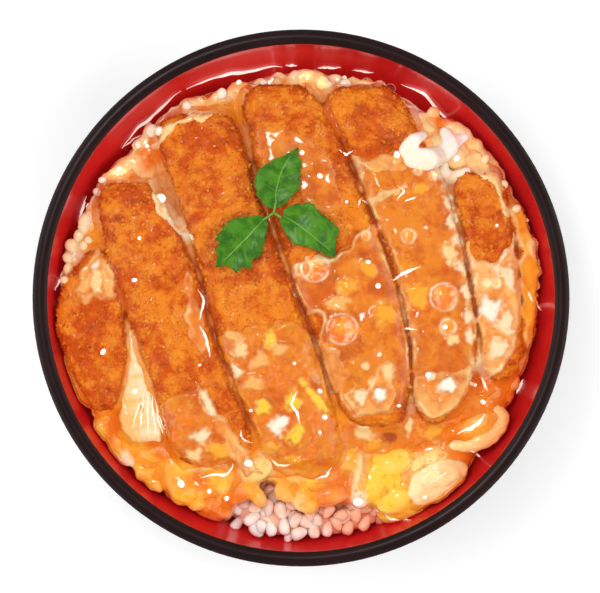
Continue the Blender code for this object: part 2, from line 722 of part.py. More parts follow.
def make_egg():
    """The soft-set egg: its layer and folds run together, then cut clear of all that it meets."""
    egg = egg_layer()
    folds = [egg_fold(fold) for fold in EGG_FOLDS]
    boolean(egg, "UNION", folds)
    use_modifier(egg, "REMESH", mode="VOXEL", voxel_size=EGG_VOXEL, use_smooth_shade=True)
    use_modifier(egg, "SMOOTH", factor=0.6, iterations=3)
    triangles = sum(len(face.vertices) - 2 for face in egg.data.polygons)
    use_modifier(egg, "DECIMATE", ratio=EGG_TRIANGLES / triangles)
    boolean(egg, "INTERSECT", [bowl_inside()])
    rooms = [slice_cutter(name, *shape) for name, shape in SLICES.items()]
    boolean(egg, "DIFFERENCE", [rice_outline(), *rooms, *curd_cutters()])
    keep_largest_piece(egg)
    return egg


def keep_largest_piece(thing):
    """Drops loose scraps that cutting leaves."""
    bm = bmesh.new()
    bm.from_mesh(thing.data)
    left = set(bm.verts)
    pieces = []
    while left:
        start = left.pop()
        piece, front = {start}, [start]
        while front:
            for edge in front.pop().link_edges:
                for vert in edge.verts:
                    if vert in left:
                        left.remove(vert)
                        piece.add(vert)
                        front.append(vert)
        pieces.append(piece)
    pieces.sort(key=len)
    for scrap in pieces[:-1]:
        bmesh.ops.delete(bm, geom=list(scrap), context="VERTS")
    bm.to_mesh(thing.data)
    bm.free()


def leaf_point(flat, lift):
    """A point of the leaf over the slices. The edges lift away from the hub, and the blade waves."""
    x, y = (flat[0] + LEAF_HUB[0]) * MM, (flat[1] + LEAF_HUB[1]) * MM
    away = math.hypot(*flat) / 20
    wave = LEAF_WAVE * (1 + math.sin(0.5 * flat[0]) * math.cos(0.45 * flat[1]))
    return Vector((x, y, bed_height(x, y) + LEAF_RISE + LEAF_CUP * away * away + wave + lift))


def leaflet(index, rows):
    """One leaflet: a thin wavy sheet, its two faces split into triangles alike."""
    bm = bmesh.new()
    layers = []
    for lift in (0, LEAF_THICKNESS):
        layer = []
        for row in rows[:-1]:
            left, midrib, right = (Vector(row[i:i + 2]) for i in (0, 2, 4))
            line = (left, (left + midrib) / 2, midrib, (midrib + right) / 2, right)
            layer.append([bm.verts.new(leaf_point(flat, lift)) for flat in line])
        layer.append([bm.verts.new(leaf_point(rows[-1], lift))])
        layers.append(layer)
    for *body, (tip,) in layers:
        for near, far in zip(body, body[1:]):
            for i in range(len(near) - 1):
                bm.faces.new((near[i], near[i + 1], far[i + 1]))
                bm.faces.new((near[i], far[i + 1], far[i]))
        for a, b in zip(body[-1], body[-1][1:]):
            bm.faces.new((a, b, tip))
    below, above = (leaf_border(layer) for layer in layers)
    for i in range(len(below)):
        j = (i + 1) % len(below)
        bm.faces.new((below[i], below[j], above[j]))
        bm.faces.new((below[i], above[j], above[i]))
    return add_object(f"leaflet_{index}", mesh_from("leaflet", bm))


def leaf_border(layer):
    """The points round a layer, in order."""
    first, *middle, tip = layer
    right = [row[-1] for row in middle]
    left = [row[0] for row in middle]
    return [*first, *right, *tip, *reversed(left)]


def leaf_stalk(index, degrees):
    """A short stalk from the hub into a leaflet."""
    bm = bmesh.new()
    place = leaf_point((0, 0), LEAF_THICKNESS / 2)
    matrix = (Matrix.Translation(place) @ Matrix.Rotation(math.radians(degrees), 4, "Z")
              @ Matrix.Translation(Vector((0.4 * STALK_LENGTH, 0, 0)))
              @ Matrix.Rotation(STALK_TWIST * index, 4, "X") @ Matrix.Rotation(math.pi / 2, 4, "Y"))
    bmesh.ops.create_cone(bm, cap_ends=True, segments=6, radius1=STALK_RADIUS, radius2=STALK_RADIUS,
                          depth=STALK_LENGTH, matrix=matrix)
    return add_object(f"stalk_{index}", mesh_from("stalk", bm))


def make_leaf():
    """The mitsuba leaf: three leaflets and their stalks, joined at the hub."""
    pieces = [leaf_stalk(i, degrees) for i, degrees in enumerate(STALK_DEGREES)]
    pieces += [leaflet(i, rows) for i, rows in enumerate(LEAFLETS)]
    leaf = pieces.pop(0)
    leaf.name = "mitsuba_leaf"
    leaf.data.materials.append(material("leaf"))
    boolean(leaf, "UNION", pieces)
    return leaf


def main():
    clear_scene()
    bowl = make_bowl()
    egg = make_egg()
    make_rice([bowl, egg])
    for name, (thickness, stations) in SLICES.items():
        make_slice(name, thickness, stations)
    make_curds()
    make_leaf()


main()
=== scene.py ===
# %% [markdown]
# # Katsudon in a lacquer bowl
# A fried pork cutlet, cut into slices, lies on rice under soft-set egg, with a leaf of mitsuba on top.
# The solids of the dish are already made, at their real size, and they come in as a fixed frame.
# This lesson gives each of them its looks. Lengths are in metres, so a millimetre is written 1 * MM.

import json
import math
import random

import bpy
import numpy as np
from mathutils import Matrix, Vector, noise
from mathutils.bvhtree import BVHTree

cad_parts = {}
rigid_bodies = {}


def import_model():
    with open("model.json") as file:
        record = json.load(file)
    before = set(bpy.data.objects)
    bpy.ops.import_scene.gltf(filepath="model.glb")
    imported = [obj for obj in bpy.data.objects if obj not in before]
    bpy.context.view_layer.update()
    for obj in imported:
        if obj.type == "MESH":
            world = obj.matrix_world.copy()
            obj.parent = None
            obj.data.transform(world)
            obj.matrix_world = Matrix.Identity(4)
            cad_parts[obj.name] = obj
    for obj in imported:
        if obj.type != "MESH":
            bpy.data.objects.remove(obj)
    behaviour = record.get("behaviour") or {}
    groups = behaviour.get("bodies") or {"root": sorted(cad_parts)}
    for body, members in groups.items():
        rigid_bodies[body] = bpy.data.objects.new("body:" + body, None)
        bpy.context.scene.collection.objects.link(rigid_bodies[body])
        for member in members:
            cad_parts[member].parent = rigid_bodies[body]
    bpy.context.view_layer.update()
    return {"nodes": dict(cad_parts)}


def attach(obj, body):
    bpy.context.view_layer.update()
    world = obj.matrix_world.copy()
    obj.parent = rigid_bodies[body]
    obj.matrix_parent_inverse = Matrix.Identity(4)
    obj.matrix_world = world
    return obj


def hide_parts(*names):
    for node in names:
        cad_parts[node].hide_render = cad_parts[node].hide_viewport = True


MM = 0.001
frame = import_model()
print("solids:", ", ".join(sorted(frame["nodes"])))

# %% [markdown]
# ## Working with the operators
# Blender's operators act on what is selected, so each step starts by selecting just one object.
# A modifier is applied at once, and its result is the object's new mesh.

# %% Small helpers for objects
def select_only(thing):
    for other in bpy.context.view_layer.objects:
        other.select_set(False)
    thing.select_set(True)
    bpy.context.view_layer.objects.active = thing


def use_modifier(thing, kind, **settings):
    select_only(thing)
    modifier = thing.modifiers.new(kind.lower(), kind)
    for setting, value in settings.items():
        setattr(modifier, setting, value)
    bpy.ops.object.modifier_apply(modifier=modifier.name)


def select_faces(thing, wanted):
    """Enters edit mode with just the wanted faces selected, given as one True or False for each face."""
    select_only(thing)
    bpy.ops.object.mode_set(mode="EDIT")
    bpy.ops.mesh.select_mode(type="FACE")
    bpy.ops.mesh.select_all(action="DESELECT")
    bpy.ops.object.mode_set(mode="OBJECT")
    thing.data.polygons.foreach_set("select", wanted)
    bpy.ops.object.mode_set(mode="EDIT")


def copy_of_solid(node, name):
    """A new object with the solid's form. The loose triangles are merged into one skin."""
    piece = bpy.data.objects.new(name, frame["nodes"][node].data.copy())
    bpy.context.scene.collection.objects.link(piece)
    piece.data.materials.clear()
    select_only(piece)
    bpy.ops.object.mode_set(mode="EDIT")
    bpy.ops.mesh.select_all(action="SELECT")
    bpy.ops.mesh.remove_doubles(threshold=0.01 * MM)
    bpy.ops.mesh.normals_make_consistent(inside=False)
    bpy.ops.object.mode_set(mode="OBJECT")
    return piece


def added(name):
    """The primitive that an operator has just added, under its own name."""
    piece = bpy.context.active_object
    piece.name = name
    piece.data.name = name
    return piece


def settle(thing):
    """Puts the object's place, turn and size into its mesh."""
    thing.data.transform(thing.matrix_world)
    thing.matrix_world = Matrix.Identity(4)


def join(things, name):
    select_only(things[0])
    for thing in things[1:]:
        thing.select_set(True)
    bpy.ops.object.join()
    things[0].name = name
    return things[0]


def coordinates(mesh):
    points = np.empty(len(mesh.vertices) * 3)
    mesh.vertices.foreach_get("co", points)
    return points.reshape(-1, 3)


def move_points(mesh, points):
    mesh.vertices.foreach_set("co", np.ascontiguousarray(points, dtype=float).ravel())
    mesh.update()


def triangles(thing):
    return sum(len(face.vertices) - 2 for face in thing.data.polygons)


def melt(piece, voxel, smoothing, rounds):
    """Gives a piece one even skin of small faces, and smooths it."""
    use_modifier(piece, "REMESH", mode="VOXEL", voxel_size=voxel)
    use_modifier(piece, "SMOOTH", factor=smoothing, iterations=rounds)


def raise_by(piece, texture, height, middle):
    """Moves the skin out and in by a texture. middle is the texture's value that stays where it is."""
    use_modifier(piece, "DISPLACE", texture=texture, texture_coords="LOCAL", strength=height,
                 mid_level=middle)


def taken_apart(shape):
    """The points and the triangles of a small shape. The object itself is then removed."""
    points = coordinates(shape.data)
    faces = np.array([face.vertices[:] for face in shape.data.polygons])
    bpy.data.objects.remove(shape, do_unlink=True)
    return points, faces


def store(piece, name, values, kind="FLOAT"):
    """Keeps one number, or one colour, for each point of a mesh."""
    if kind == "FLOAT":
        piece.data.attributes.new(name, "FLOAT", "POINT").data.foreach_set("value", values)
        return
    rgba = np.ones((len(values), 4))
    rgba[:, :3] = values
    piece.data.color_attributes.new(name, "FLOAT_COLOR", "POINT").data.foreach_set("color", rgba.ravel())


# %% [markdown]
# ## Shader maths in plain Python
# A material is a graph of nodes. The class below wraps one output socket, so that sums and products
# of sockets can be written as expressions, and every other node is added by one method.

# %% Sockets that can be added and multiplied
class Socket:
    def __init__(self, tree, out):
        self.tree = tree
        self.out = out

    def node(self, kind, settings=None, inputs=None, output=0):
        """Adds a node: settings first, then a value or a link for each input, by name or number."""
        made = self.tree.nodes.new(kind)
        for name, value in (settings or {}).items():
            setattr(made, name, value)
        for key, value in (inputs or {}).items():
            if isinstance(value, Socket):
                self.tree.links.new(value.out, made.inputs[key])
            else:
                made.inputs[key].default_value = value
        return Socket(self.tree, made.outputs[output])

    def maths(self, operation, first, second=0.0):
        return self.node("ShaderNodeMath", {"operation": operation}, {0: first, 1: second})

    def __add__(self, other):
        return self.maths("ADD", self, other)

    def __radd__(self, other):
        return self.maths("ADD", other, self)

    def __sub__(self, other):
        return self.maths("SUBTRACT", self, other)

    def __rsub__(self, other):
        return self.maths("SUBTRACT", other, self)

    def __mul__(self, other):
        return self.maths("MULTIPLY", self, other)

    def __rmul__(self, other):
        return self.maths("MULTIPLY", other, self)

    def __abs__(self):
        return self.maths("ABSOLUTE", self)

    def smooth(self, low, high):
        """0 below low and 1 above high, with a soft step between."""
        return self.node("ShaderNodeMapRange", {"interpolation_type": "SMOOTHSTEP"},
                         {0: self, 1: low, 2: high, 3: 0.0, 4: 1.0})

    def noise(self, size, detail=3.0, roughness=0.55, distortion=0.0):
        """Soft noise whose features are about this large, in metres. self holds the coordinates."""
        return self.node("ShaderNodeTexNoise", None, {
            "Vector": self, "Scale": 1 / size, "Detail": detail, "Roughness": roughness,
            "Distortion": distortion})

    def stretched(self, x, y, z, turn=0.0):
        """The same coordinates, scaled along each axis after a turn about Z."""
        return self.node("ShaderNodeMapping", None,
                         {"Vector": self, "Rotation": (0, 0, turn), "Scale": (x, y, z)})

    def axis(self, number):
        """One of three coordinates: 0 for X, 1 for Y, 2 for Z."""
        return self.node("ShaderNodeSeparateXYZ", None, {0: self}, output=number)

    def stored(self, name, output=2):
        """What the mesh keeps for its points under a name: output 0 is a colour, and 2 a number."""
        return self.node("ShaderNodeAttribute", {"attribute_name": name}, output=output)

    def blend(self, first, second):
        """A colour between two, with self as the share of the second."""
        return self.node("ShaderNodeMix", {"data_type": "RGBA"},
                         {0: self, 6: tinted(first), 7: tinted(second)}, output=2)


def tinted(colour):
    return colour if isinstance(colour, Socket) or len(colour) == 4 else (*colour, 1.0)


def new_finish(name, **constants):
    """A material with a Principled shader. Returns it, its shader and its Object coordinates."""
    made = bpy.data.materials.new(name)
    made.use_nodes = True
    shader = made.node_tree.nodes["Principled BSDF"]
    for socket, value in constants.items():
        shader.inputs[socket.replace("_", " ")].default_value = value
    start = Socket(made.node_tree, None)
    return made, shader, start.node("ShaderNodeTexCoord", output=3)


def feed(shader, **values):
    """Links sockets into a shader's inputs, named with _ for a space."""
    for name, value in values.items():
        value.tree.links.new(value.out, shader.inputs[name.replace("_", " ")])


def bump(height, depth, strength=1.0):
    """Turns a height between 0 and 1 into a normal, as if the surface rose by depth metres."""
    return height.node("ShaderNodeBump", None, {"Height": height, "Distance": depth, "Strength": strength})


# %% [markdown]
# ## Camera, floor and light
# The dish is seen from straight above. A long lens far away keeps the bowl's rim round and the wall
# narrow. The room has bright side walls and a dim ceiling, so that what is wet doesn't mirror a grey
# veil into the lens. Soft boxes overhead and all round light down into the folds. A large lamp would
# show as a white patch on every wet fold, so these are hidden from mirror images. One smaller lamp
# puts sharp glints on the glaze.

# %% Camera and colour
RIM_HEIGHT = 80 * MM
PIXEL = 0.3067 * MM
CAMERA_RISE = 1.0
SENSOR_WIDTH = 36
PICTURE_WIDTH = 600

camera_data = bpy.data.cameras.new("camera")
camera_data.sensor_width = SENSOR_WIDTH
camera_data.lens = SENSOR_WIDTH * CAMERA_RISE / (PICTURE_WIDTH * PIXEL)
camera = bpy.data.objects.new("camera", camera_data)
camera.location = (-1 * PIXEL, 1.5 * PIXEL, RIM_HEIGHT + CAMERA_RISE)
bpy.context.scene.collection.objects.link(camera)
bpy.context.scene.camera = camera
bpy.context.scene.view_settings.view_transform = "Standard"
print("lens", round(camera_data.lens, 1), "mm")

# %% Floor
bpy.ops.mesh.primitive_plane_add(size=6, location=(0, 0, 0))
floor = added("floor")
settle(floor)
floor_finish, *_ = new_finish("pale_floor", Base_Color=(1, 1, 1, 1), Roughness=0.9,
                              Emission_Color=(1, 1, 1, 1), Emission_Strength=0.22)
floor.data.materials.append(floor_finish)

# %% Lights
# Name, place and side in metres, power in watts, and whether what is wet mirrors it.
LIGHTS = (
    ("overhead", (-0.16, 0.20, 1.50), 0.44, 3.4, False),
    ("left_fill", (-0.66, 0.10, 1.06), 0.50, 2.3, False),
    ("right_fill", (0.66, 0.0, 1.06), 0.50, 3.3, False),
    ("far_fill", (0.0, 0.66, 1.06), 0.50, 0.7, False),
    ("near_fill", (0.0, -0.62, 1.10), 0.50, 3.5, False),
    ("key", (-0.26, 0.34, 1.35), 0.22, 2.4, True),
)
LIT_POINT = Vector((0, 0, 0.06))
CEILING_LIGHT = 0.16


def area_light(name, place, side, power, mirrored):
    data = bpy.data.lights.new(name, "AREA")
    data.shape = "SQUARE"
    data.size = side
    data.energy = power
    lamp = bpy.data.objects.new(name, data)
    lamp.location = place
    lamp.rotation_euler = (LIT_POINT - Vector(place)).to_track_quat("-Z", "Y").to_euler()
    lamp.visible_glossy = mirrored
    bpy.context.scene.collection.objects.link(lamp)


for light in LIGHTS:
    area_light(*light)

world = bpy.data.worlds.new("studio")
world.use_nodes = True
background = world.node_tree.nodes["Background"]
background.inputs["Color"].default_value = (1, 1, 1, 1)
heading = Socket(world.node_tree, None).node("ShaderNodeTexCoord", output=0)
aside = abs(heading.axis(0))
upward = heading.axis(2)
walls = aside.smooth(0.45, 0.95) * 0.80 + 0.30
strength = walls + upward.smooth(0.35, 0.95) * (CEILING_LIGHT - walls)
world.node_tree.links.new(strength.out, background.inputs["Strength"])
bpy.context.scene.world = world

# %% [markdown]
# ## The bowl
# A donburi bowl is turned on a lathe and lacquered: black outside and on the rim, red inside. The
# same can be done with a spun curve, but here a ring is drawn out and widened step by step, as a
# potter would, because each step then names the place where the profile bends.

# %% The bowl's half section
RIM_RADIUS = 82.5 * MM
RIM_WIDTH = 4.6 * MM
INNER_DEPTH = 66 * MM
OUTER_DEPTH = 73 * MM
FOOT_RADIUS = 38 * MM
INNER_RADIUS = RIM_RADIUS - RIM_WIDTH
RECESS_HEIGHT = 7.5 * MM
BOWL_SIDES = 160


def wall_height(radius):
    return RIM_HEIGHT - INNER_DEPTH * np.sqrt(np.clip(1 - (radius / INNER_RADIUS) ** 2, 0, 1))


def wall_radius(height):
    share = np.clip((RIM_HEIGHT - height) / INNER_DEPTH, 0, 1)
    return INNER_RADIUS * np.sqrt(1 - share**2)


def keep_off_wall(piece, gap=0.35 * MM):
    """Presses the points that reach into the bowl's wall back to it."""
    points = coordinates(piece.data)
    out = np.hypot(points[:, 0], points[:, 1])
    limit = wall_radius(points[:, 2]) - gap
    share = np.where(out > limit, limit / np.maximum(out, 1e-6), 1)
    points[:, :2] *= share[:, None]
    move_points(piece.data, points)


def bowl_steps():
    """Radius and height of each ring, from the middle of the inside, over the rim, to under the foot."""
    steps = []
    for turn in np.linspace(0.02, math.pi / 2, 30):
        steps.append((INNER_RADIUS * math.sin(turn), RIM_HEIGHT - INNER_DEPTH * math.cos(turn)))
    steps[-1] = (INNER_RADIUS, RIM_HEIGHT - 1.4 * MM)
    middle, half = (INNER_RADIUS + RIM_RADIUS) / 2, RIM_WIDTH / 2
    for across in (-0.98, -0.9, -0.7, -0.45, -0.2, 0, 0.2, 0.45, 0.7, 0.9, 0.98):
        steps.append((middle + half * across, RIM_HEIGHT - 1.0 * MM * abs(across) ** 2.1))
    steps.append((RIM_RADIUS, RIM_HEIGHT - 1.9 * MM))
    foot_turn = math.asin((FOOT_RADIUS - 1.2 * MM) / RIM_RADIUS)
    for turn in np.linspace(math.pi / 2, foot_turn, 26)[2:]:
        steps.append((RIM_RADIUS * math.sin(turn), RIM_HEIGHT - OUTER_DEPTH * math.cos(turn)))
    steps += [(FOOT_RADIUS, 1.2 * MM), (FOOT_RADIUS - 0.4 * MM, 0.3 * MM), (FOOT_RADIUS - 1 * MM, 0)]
    steps += [(FOOT_RADIUS - 3.6 * MM, 0), (FOOT_RADIUS - 4.3 * MM, 0.6 * MM)]
    steps += [(FOOT_RADIUS - 5.4 * MM, RECESS_HEIGHT - 0.6 * MM), (FOOT_RADIUS - 6.4 * MM, RECESS_HEIGHT)]
    return steps + [(FOOT_RADIUS / 2, RECESS_HEIGHT), (1 * MM, RECESS_HEIGHT)]


# %% Draw the bowl out ring by ring
steps = bowl_steps()
bpy.ops.mesh.primitive_circle_add(vertices=BOWL_SIDES, radius=steps[0][0], fill_type="TRIFAN",
                                  location=(0, 0, steps[0][1]))
bowl = added("lacquer_bowl")
settle(bowl)
select_only(bowl)
bpy.ops.object.mode_set(mode="EDIT")
bpy.ops.mesh.select_mode(type="EDGE")
bpy.ops.mesh.select_non_manifold()
for (last_radius, last_height), (radius, height) in zip(steps, steps[1:]):
    bpy.ops.mesh.extrude_region_move(TRANSFORM_OT_translate={"value": (0, 0, height - last_height)})
    share = radius / last_radius
    bpy.ops.transform.resize(value=(share, share, 1), center_override=(0, 0, height))
bpy.ops.mesh.merge(type="CENTER")
bpy.ops.mesh.select_all(action="SELECT")
bpy.ops.mesh.normals_make_consistent(inside=False)
bpy.ops.object.mode_set(mode="OBJECT")
bowl.data.shade_smooth()
print("bowl:", triangles(bowl), "triangles")

# %% [markdown]
# ## Lacquer
# Lacquer is a smooth, hard coat over a deep colour. The red one is a clear coat over red, with very
# slow waves left by the brush, and the black one is warm, almost brown. Each is a material of its own,
# and a face gets one of the two by its place.

# %% Red and black lacquer
def lacquer(name, dark, light, roughness, waves, **constants):
    made, shader, place = new_finish(name, **constants)
    cloud = place.noise(26 * MM, 2.0)
    feed(shader,
         Base_Color=cloud.smooth(0.3, 0.7).blend(dark, light),
         Roughness=place.noise(5 * MM).smooth(0.2, 0.8) * 0.08 + roughness,
         Normal=bump(place.noise(14 * MM, 1.0), 0.12 * MM, waves))
    return made


red_lacquer = lacquer("red_lacquer", (0.76, 0.019, 0.020), (0.86, 0.026, 0.028), 0.28, 0.08,
                      Specular_IOR_Level=0.3, Coat_Weight=0.25, Coat_Roughness=0.10)
black_lacquer = lacquer("black_lacquer", (0.012, 0.003, 0.003), (0.017, 0.005, 0.005), 0.30, 0.35,
                        Specular_IOR_Level=0.34)
bowl.data.materials.append(black_lacquer)
bowl.data.materials.append(red_lacquer)
RED_LOWEST = 12 * MM
for face in bowl.data.polygons:
    out = math.hypot(face.center.x, face.center.y)
    face.material_index = int(out < INNER_RADIUS + 0.1 * MM and face.center.z > RED_LOWEST
                              and face.center.z > wall_height(out) - 1.5 * MM)
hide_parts("bowl")
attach(bowl, "root")
print("red faces:", sum(face.material_index for face in bowl.data.polygons))

# %% [markdown]
# ## The cutlet's slices
# A cutlet is fried in coarse breadcrumbs and cut across, so each slice has a rough crust on top and
# at its ends. Here each slice starts as its own solid, is given an even fine skin by a voxel remesh,
# and is then pushed in and out by three textures: slow swells, crumbs, and a fine grain.

# %% The bed that the slices lie on
BED_TOP = 66 * MM
BED_DROP = 4.5 * MM
BED_RADIUS = 70 * MM


def bed_height(x, y):
    """Height of the surface that the slices lie on."""
    return BED_TOP - BED_DROP * (x * x + y * y) / BED_RADIUS**2


# %% Textures that raise the crust
def relief(name, kind, size, **settings):
    texture = bpy.data.textures.new(name, kind)
    texture.noise_scale = size
    for setting, value in settings.items():
        setattr(texture, setting, value)
    return texture


swells = relief("swells", "CLOUDS", 6 * MM, noise_depth=2)
crumbs = relief("crumbs", "DISTORTED_NOISE", 1.7 * MM, distortion=1.4, noise_basis="VORONOI_F2_F1",
                noise_distortion="IMPROVED_PERLIN")
grain = relief("grain", "CLOUDS", 0.8 * MM, noise_depth=2, noise_type="HARD_NOISE")

# %% Give each slice its crust
SLICES = [f"cutlet_slice_{number}" for number in range(1, 8)]
CRUST_VOXEL = 0.55 * MM
CRUST_GROWTH = 0.85 * MM
SOAKED_BELOW = 5 * MM
# Each texture with the height that it gives, and the value of it that stays where it is.
CRUST_RELIEF = ((swells, 1.7 * MM, 0.5), (crumbs, 0.75 * MM, 0.4), (grain, 0.5 * MM, 0.5))


def raise_crust(piece):
    melt(piece, CRUST_VOXEL, 0.6, 10)
    use_modifier(piece, "DISPLACE", strength=CRUST_GROWTH, mid_level=0)
    for texture, height, middle in CRUST_RELIEF:
        raise_by(piece, texture, height, middle)
    piece.data.shade_smooth()


def mark_depth(piece):
    """Stores how far each point lies below the slice's top. It is 1 where sauce has soaked in."""
    points = coordinates(piece.data)
    top = np.array([bed_height(x, y) for x, y in points[:, :2]]) + crown[piece.name]
    store(piece, "sunk", np.clip((top - points[:, 2]) / SOAKED_BELOW, 0, 1))


slices = []
crown = {}
for node in SLICES:
    piece = copy_of_solid(node, node.replace("cutlet_slice", "fried_slice"))
    raise_crust(piece)
    points = coordinates(piece.data)
    over_bed = points[:, 2] - bed_height(points[:, 0], points[:, 1])
    crown[piece.name] = float(np.percentile(over_bed, 92))
    mark_depth(piece)
    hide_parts(node)
    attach(piece, "root")
    slices.append(piece)
print("slices:", sum(triangles(piece) for piece in slices), "triangles")

# %% [markdown]
# ## The colour of the crust
# Fried crumbs run from gold to red-brown, and sauce makes them darker and shiny. Several noises of
# different size are laid over each other: patches of colour, crumb tops painted pale as a painted
# highlight, and short streaks. A coat whose strength varies makes some places wet.

# %% Crust material
CRUST_DEEP = (0.36, 0.055, 0.005)
CRUST_RED = (0.62, 0.085, 0.007)
CRUST_GOLD = (0.81, 0.228, 0.017)
CRUST_AMBER = (0.88, 0.32, 0.028)
CRUST_HIGHLIGHT = (0.95, 0.52, 0.16)
CRUST_SOAKED = (0.40, 0.048, 0.004)
GOLDEN_LIGHT = (1.0, 0.80, 0.55, 1)


def crust_pattern(place):
    """The crust's colour and its fine height: patches, brown places, and crumb tops painted pale as a painted
    highlight.
    """
    patches = place.noise(13 * MM, 4.0, 0.6, 0.5)
    middling = place.noise(4.2 * MM, 4.0, 0.65)
    fine = place.noise(0.9 * MM, 3.0, 0.6)
    streaks = place.stretched(1, 0.28, 1, 0.35).noise(1.6 * MM, 4.0, 0.7)
    warm = (patches * 0.55 + middling * 0.45).smooth(0.43, 0.57).blend(CRUST_RED, CRUST_GOLD)
    browned = ((1 - middling) * 0.5 + (1 - patches) * 0.25 + streaks * 0.25).smooth(0.52, 0.63) * 0.8
    toasted = browned.blend(warm, CRUST_DEEP)
    gilded = (middling * 0.4 + streaks * 0.4 + patches * 0.2).smooth(0.53, 0.66) * 0.75
    # Painted highlight: where the fine height stands high, the crumbs are painted pale.
    crumb_highlights = (fine * 0.45 + streaks * 0.55).smooth(0.56, 0.72) * 0.7
    return crumb_highlights.blend(gilded.blend(toasted, CRUST_AMBER), CRUST_HIGHLIGHT), fine * 0.6 + streaks * 0.4


crust_finish, crust_shader, place = new_finish(
    "fried_crust", Subsurface_Weight=0.08, Subsurface_Scale=0.6 * MM, Subsurface_Radius=(1.0, 0.35, 0.1),
    Specular_IOR_Level=0.2, Specular_Tint=GOLDEN_LIGHT, Coat_Roughness=0.14, Coat_IOR=1.45)
crumbed, crumb_height = crust_pattern(place)
sunk = place.stored("sunk")
feed(crust_shader,
     Base_Color=(sunk.smooth(0.2, 0.9) * 0.65).blend(crumbed, CRUST_SOAKED),
     Roughness=place.noise(3 * MM).smooth(0.3, 0.7) * 0.25 + 0.32,
     Coat_Weight=place.noise(8 * MM, 2.0).smooth(0.42, 0.62) * 0.5 + 0.05,
     Normal=bump(crumb_height, 0.35 * MM, 0.6))
for piece in slices:
    piece.data.materials.append(crust_finish)

# %% [markdown]
# ## Loose crumbs on the crust
# Coarse breadcrumbs are flat, jagged flakes of one to three millimetres. One flake is modelled from a
# small ball of twenty faces, and copies of it are turned, squashed and set into the crust at random.

# %% Scatter the flakes
FLAKES_PER_SQUARE_MM = 0.22
STEEPEST_WITH_FLAKES = 0.5
FULL_TURN = 6.3
FLAKE_SEED = 5

draw = random.Random(FLAKE_SEED)
bpy.ops.mesh.primitive_ico_sphere_add(subdivisions=1, radius=1)
flake_points, flake_faces = taken_apart(added("flake"))


def scattered(name, places, make_shape, faces):
    """One mesh of many small shapes. make_shape gives each one's points from its place."""
    shapes = [make_shape(spot) for spot in places]
    points = np.concatenate(shapes)
    size = len(shapes[0])
    all_faces = np.concatenate([faces + number * size for number in range(len(shapes))])
    mesh = bpy.data.meshes.new(name)
    mesh.from_pydata(points.tolist(), [], all_faces.tolist())
    piece = bpy.data.objects.new(name, mesh)
    bpy.context.scene.collection.objects.link(piece)
    return piece


def spots_on(piece, per_square_mm):
    """Random places and normals on the upward faces, more of them on larger faces."""
    spots = []
    for face in piece.data.polygons:
        if face.normal.z < STEEPEST_WITH_FLAKES:
            continue
        wanted = face.area / MM**2 * per_square_mm
        for _ in range(int(wanted + draw.random())):
            spots.append((face.center.copy(), face.normal.copy()))
    return spots


def flake_shape(spot):
    centre, normal = spot
    long = (0.4 + 0.9 * draw.random() ** 1.6) * MM
    size = np.array([long, long * draw.uniform(0.4, 0.8), long * draw.uniform(0.25, 0.45)])
    jag = np.array([draw.uniform(0.65, 1.35) for _ in range(len(flake_points))])[:, None]
    lay = normal.to_track_quat("Z", "Y").to_matrix() @ Matrix.Rotation(draw.uniform(0, FULL_TURN), 3, "Z")
    lean = lay @ Matrix.Rotation(draw.uniform(-0.5, 0.5), 3, "X")
    return (flake_points * jag * size) @ np.array(lean).T + np.array(centre - normal * 0.06 * long)


flake_spots = [spot for piece in slices for spot in spots_on(piece, FLAKES_PER_SQUARE_MM)]
flakes = scattered("crust_flakes", flake_spots, flake_shape, flake_faces)
flakes.data.shade_smooth()
flake_finish, flake_shader, place = new_finish(
    "loose_crumbs", Specular_IOR_Level=0.25, Specular_Tint=GOLDEN_LIGHT, Coat_Roughness=0.15, Coat_IOR=1.45)
own_gold = place.noise(1.1 * MM, 1.0).smooth(0.35, 0.70)
feed(flake_shader,
     Base_Color=(own_gold * 0.55).blend(crust_pattern(place)[0], CRUST_AMBER),
     Roughness=place.noise(2 * MM) * 0.3 + 0.3,
     Coat_Weight=place.noise(8 * MM, 2.0).smooth(0.40, 0.62) * 0.5)
flakes.data.materials.append(flake_finish)
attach(flakes, "root")
print("flakes:", triangles(flakes), "triangles")

# %% [markdown]
# ## The rice
# Only the near side of the bowl shows rice, but there every grain counts. The heap under it keeps the
# solid's form, melted smooth by a coarse remesh, and plump grains of about 5 by 4 mm are laid over it.

# %% The heap
heap = copy_of_solid("rice", "rice_heap")
melt(heap, 1.8 * MM, 0.6, 14)
heap.data.shade_smooth()
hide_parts("rice")
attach(heap, "root")


def surface_of(things):
    """The surface of several objects, for dropping pieces onto it."""
    points, faces = [], []
    for thing in things:
        start = len(points)
        points += [vert.co.copy() for vert in thing.data.vertices]
        faces += [[start + index for index in face.vertices] for face in thing.data.polygons]
    return BVHTree.FromPolygons(points, faces)


ABOVE_ALL = 0.2


def top_at(tree, x, y, otherwise=None):
    """The height of the surface at a place, felt by a ray that falls on it from above."""
    hit = tree.ray_cast(Vector((x, y, ABOVE_ALL)), Vector((0, 0, -1)))[0]
    return hit.z if hit else otherwise


heap_top = surface_of([heap])
print("rice heap:", triangles(heap), "triangles")

# %% Lay the grains
GRAIN_LENGTH = 5.4 * MM
GRAIN_WIDTH = 3.9 * MM
NEAR_SIDE = math.radians(-87)
# The grains that hang over the edge of the heap: x, y in mm and the degrees that each lies from +X.
EDGE_GRAINS = (
    (-19.9, -70.5, 50), (-15.3, -68.6, 35), (-9.2, -71.6, 100), (-5.2, -70.9, 95), (-0.6, -73.0, 20),
    (4.0, -72.3, 95), (8.3, -71.8, 80), (14.7, -71.4, 70), (19.9, -70.1, 60), (25.6, -68.6, 25),
)

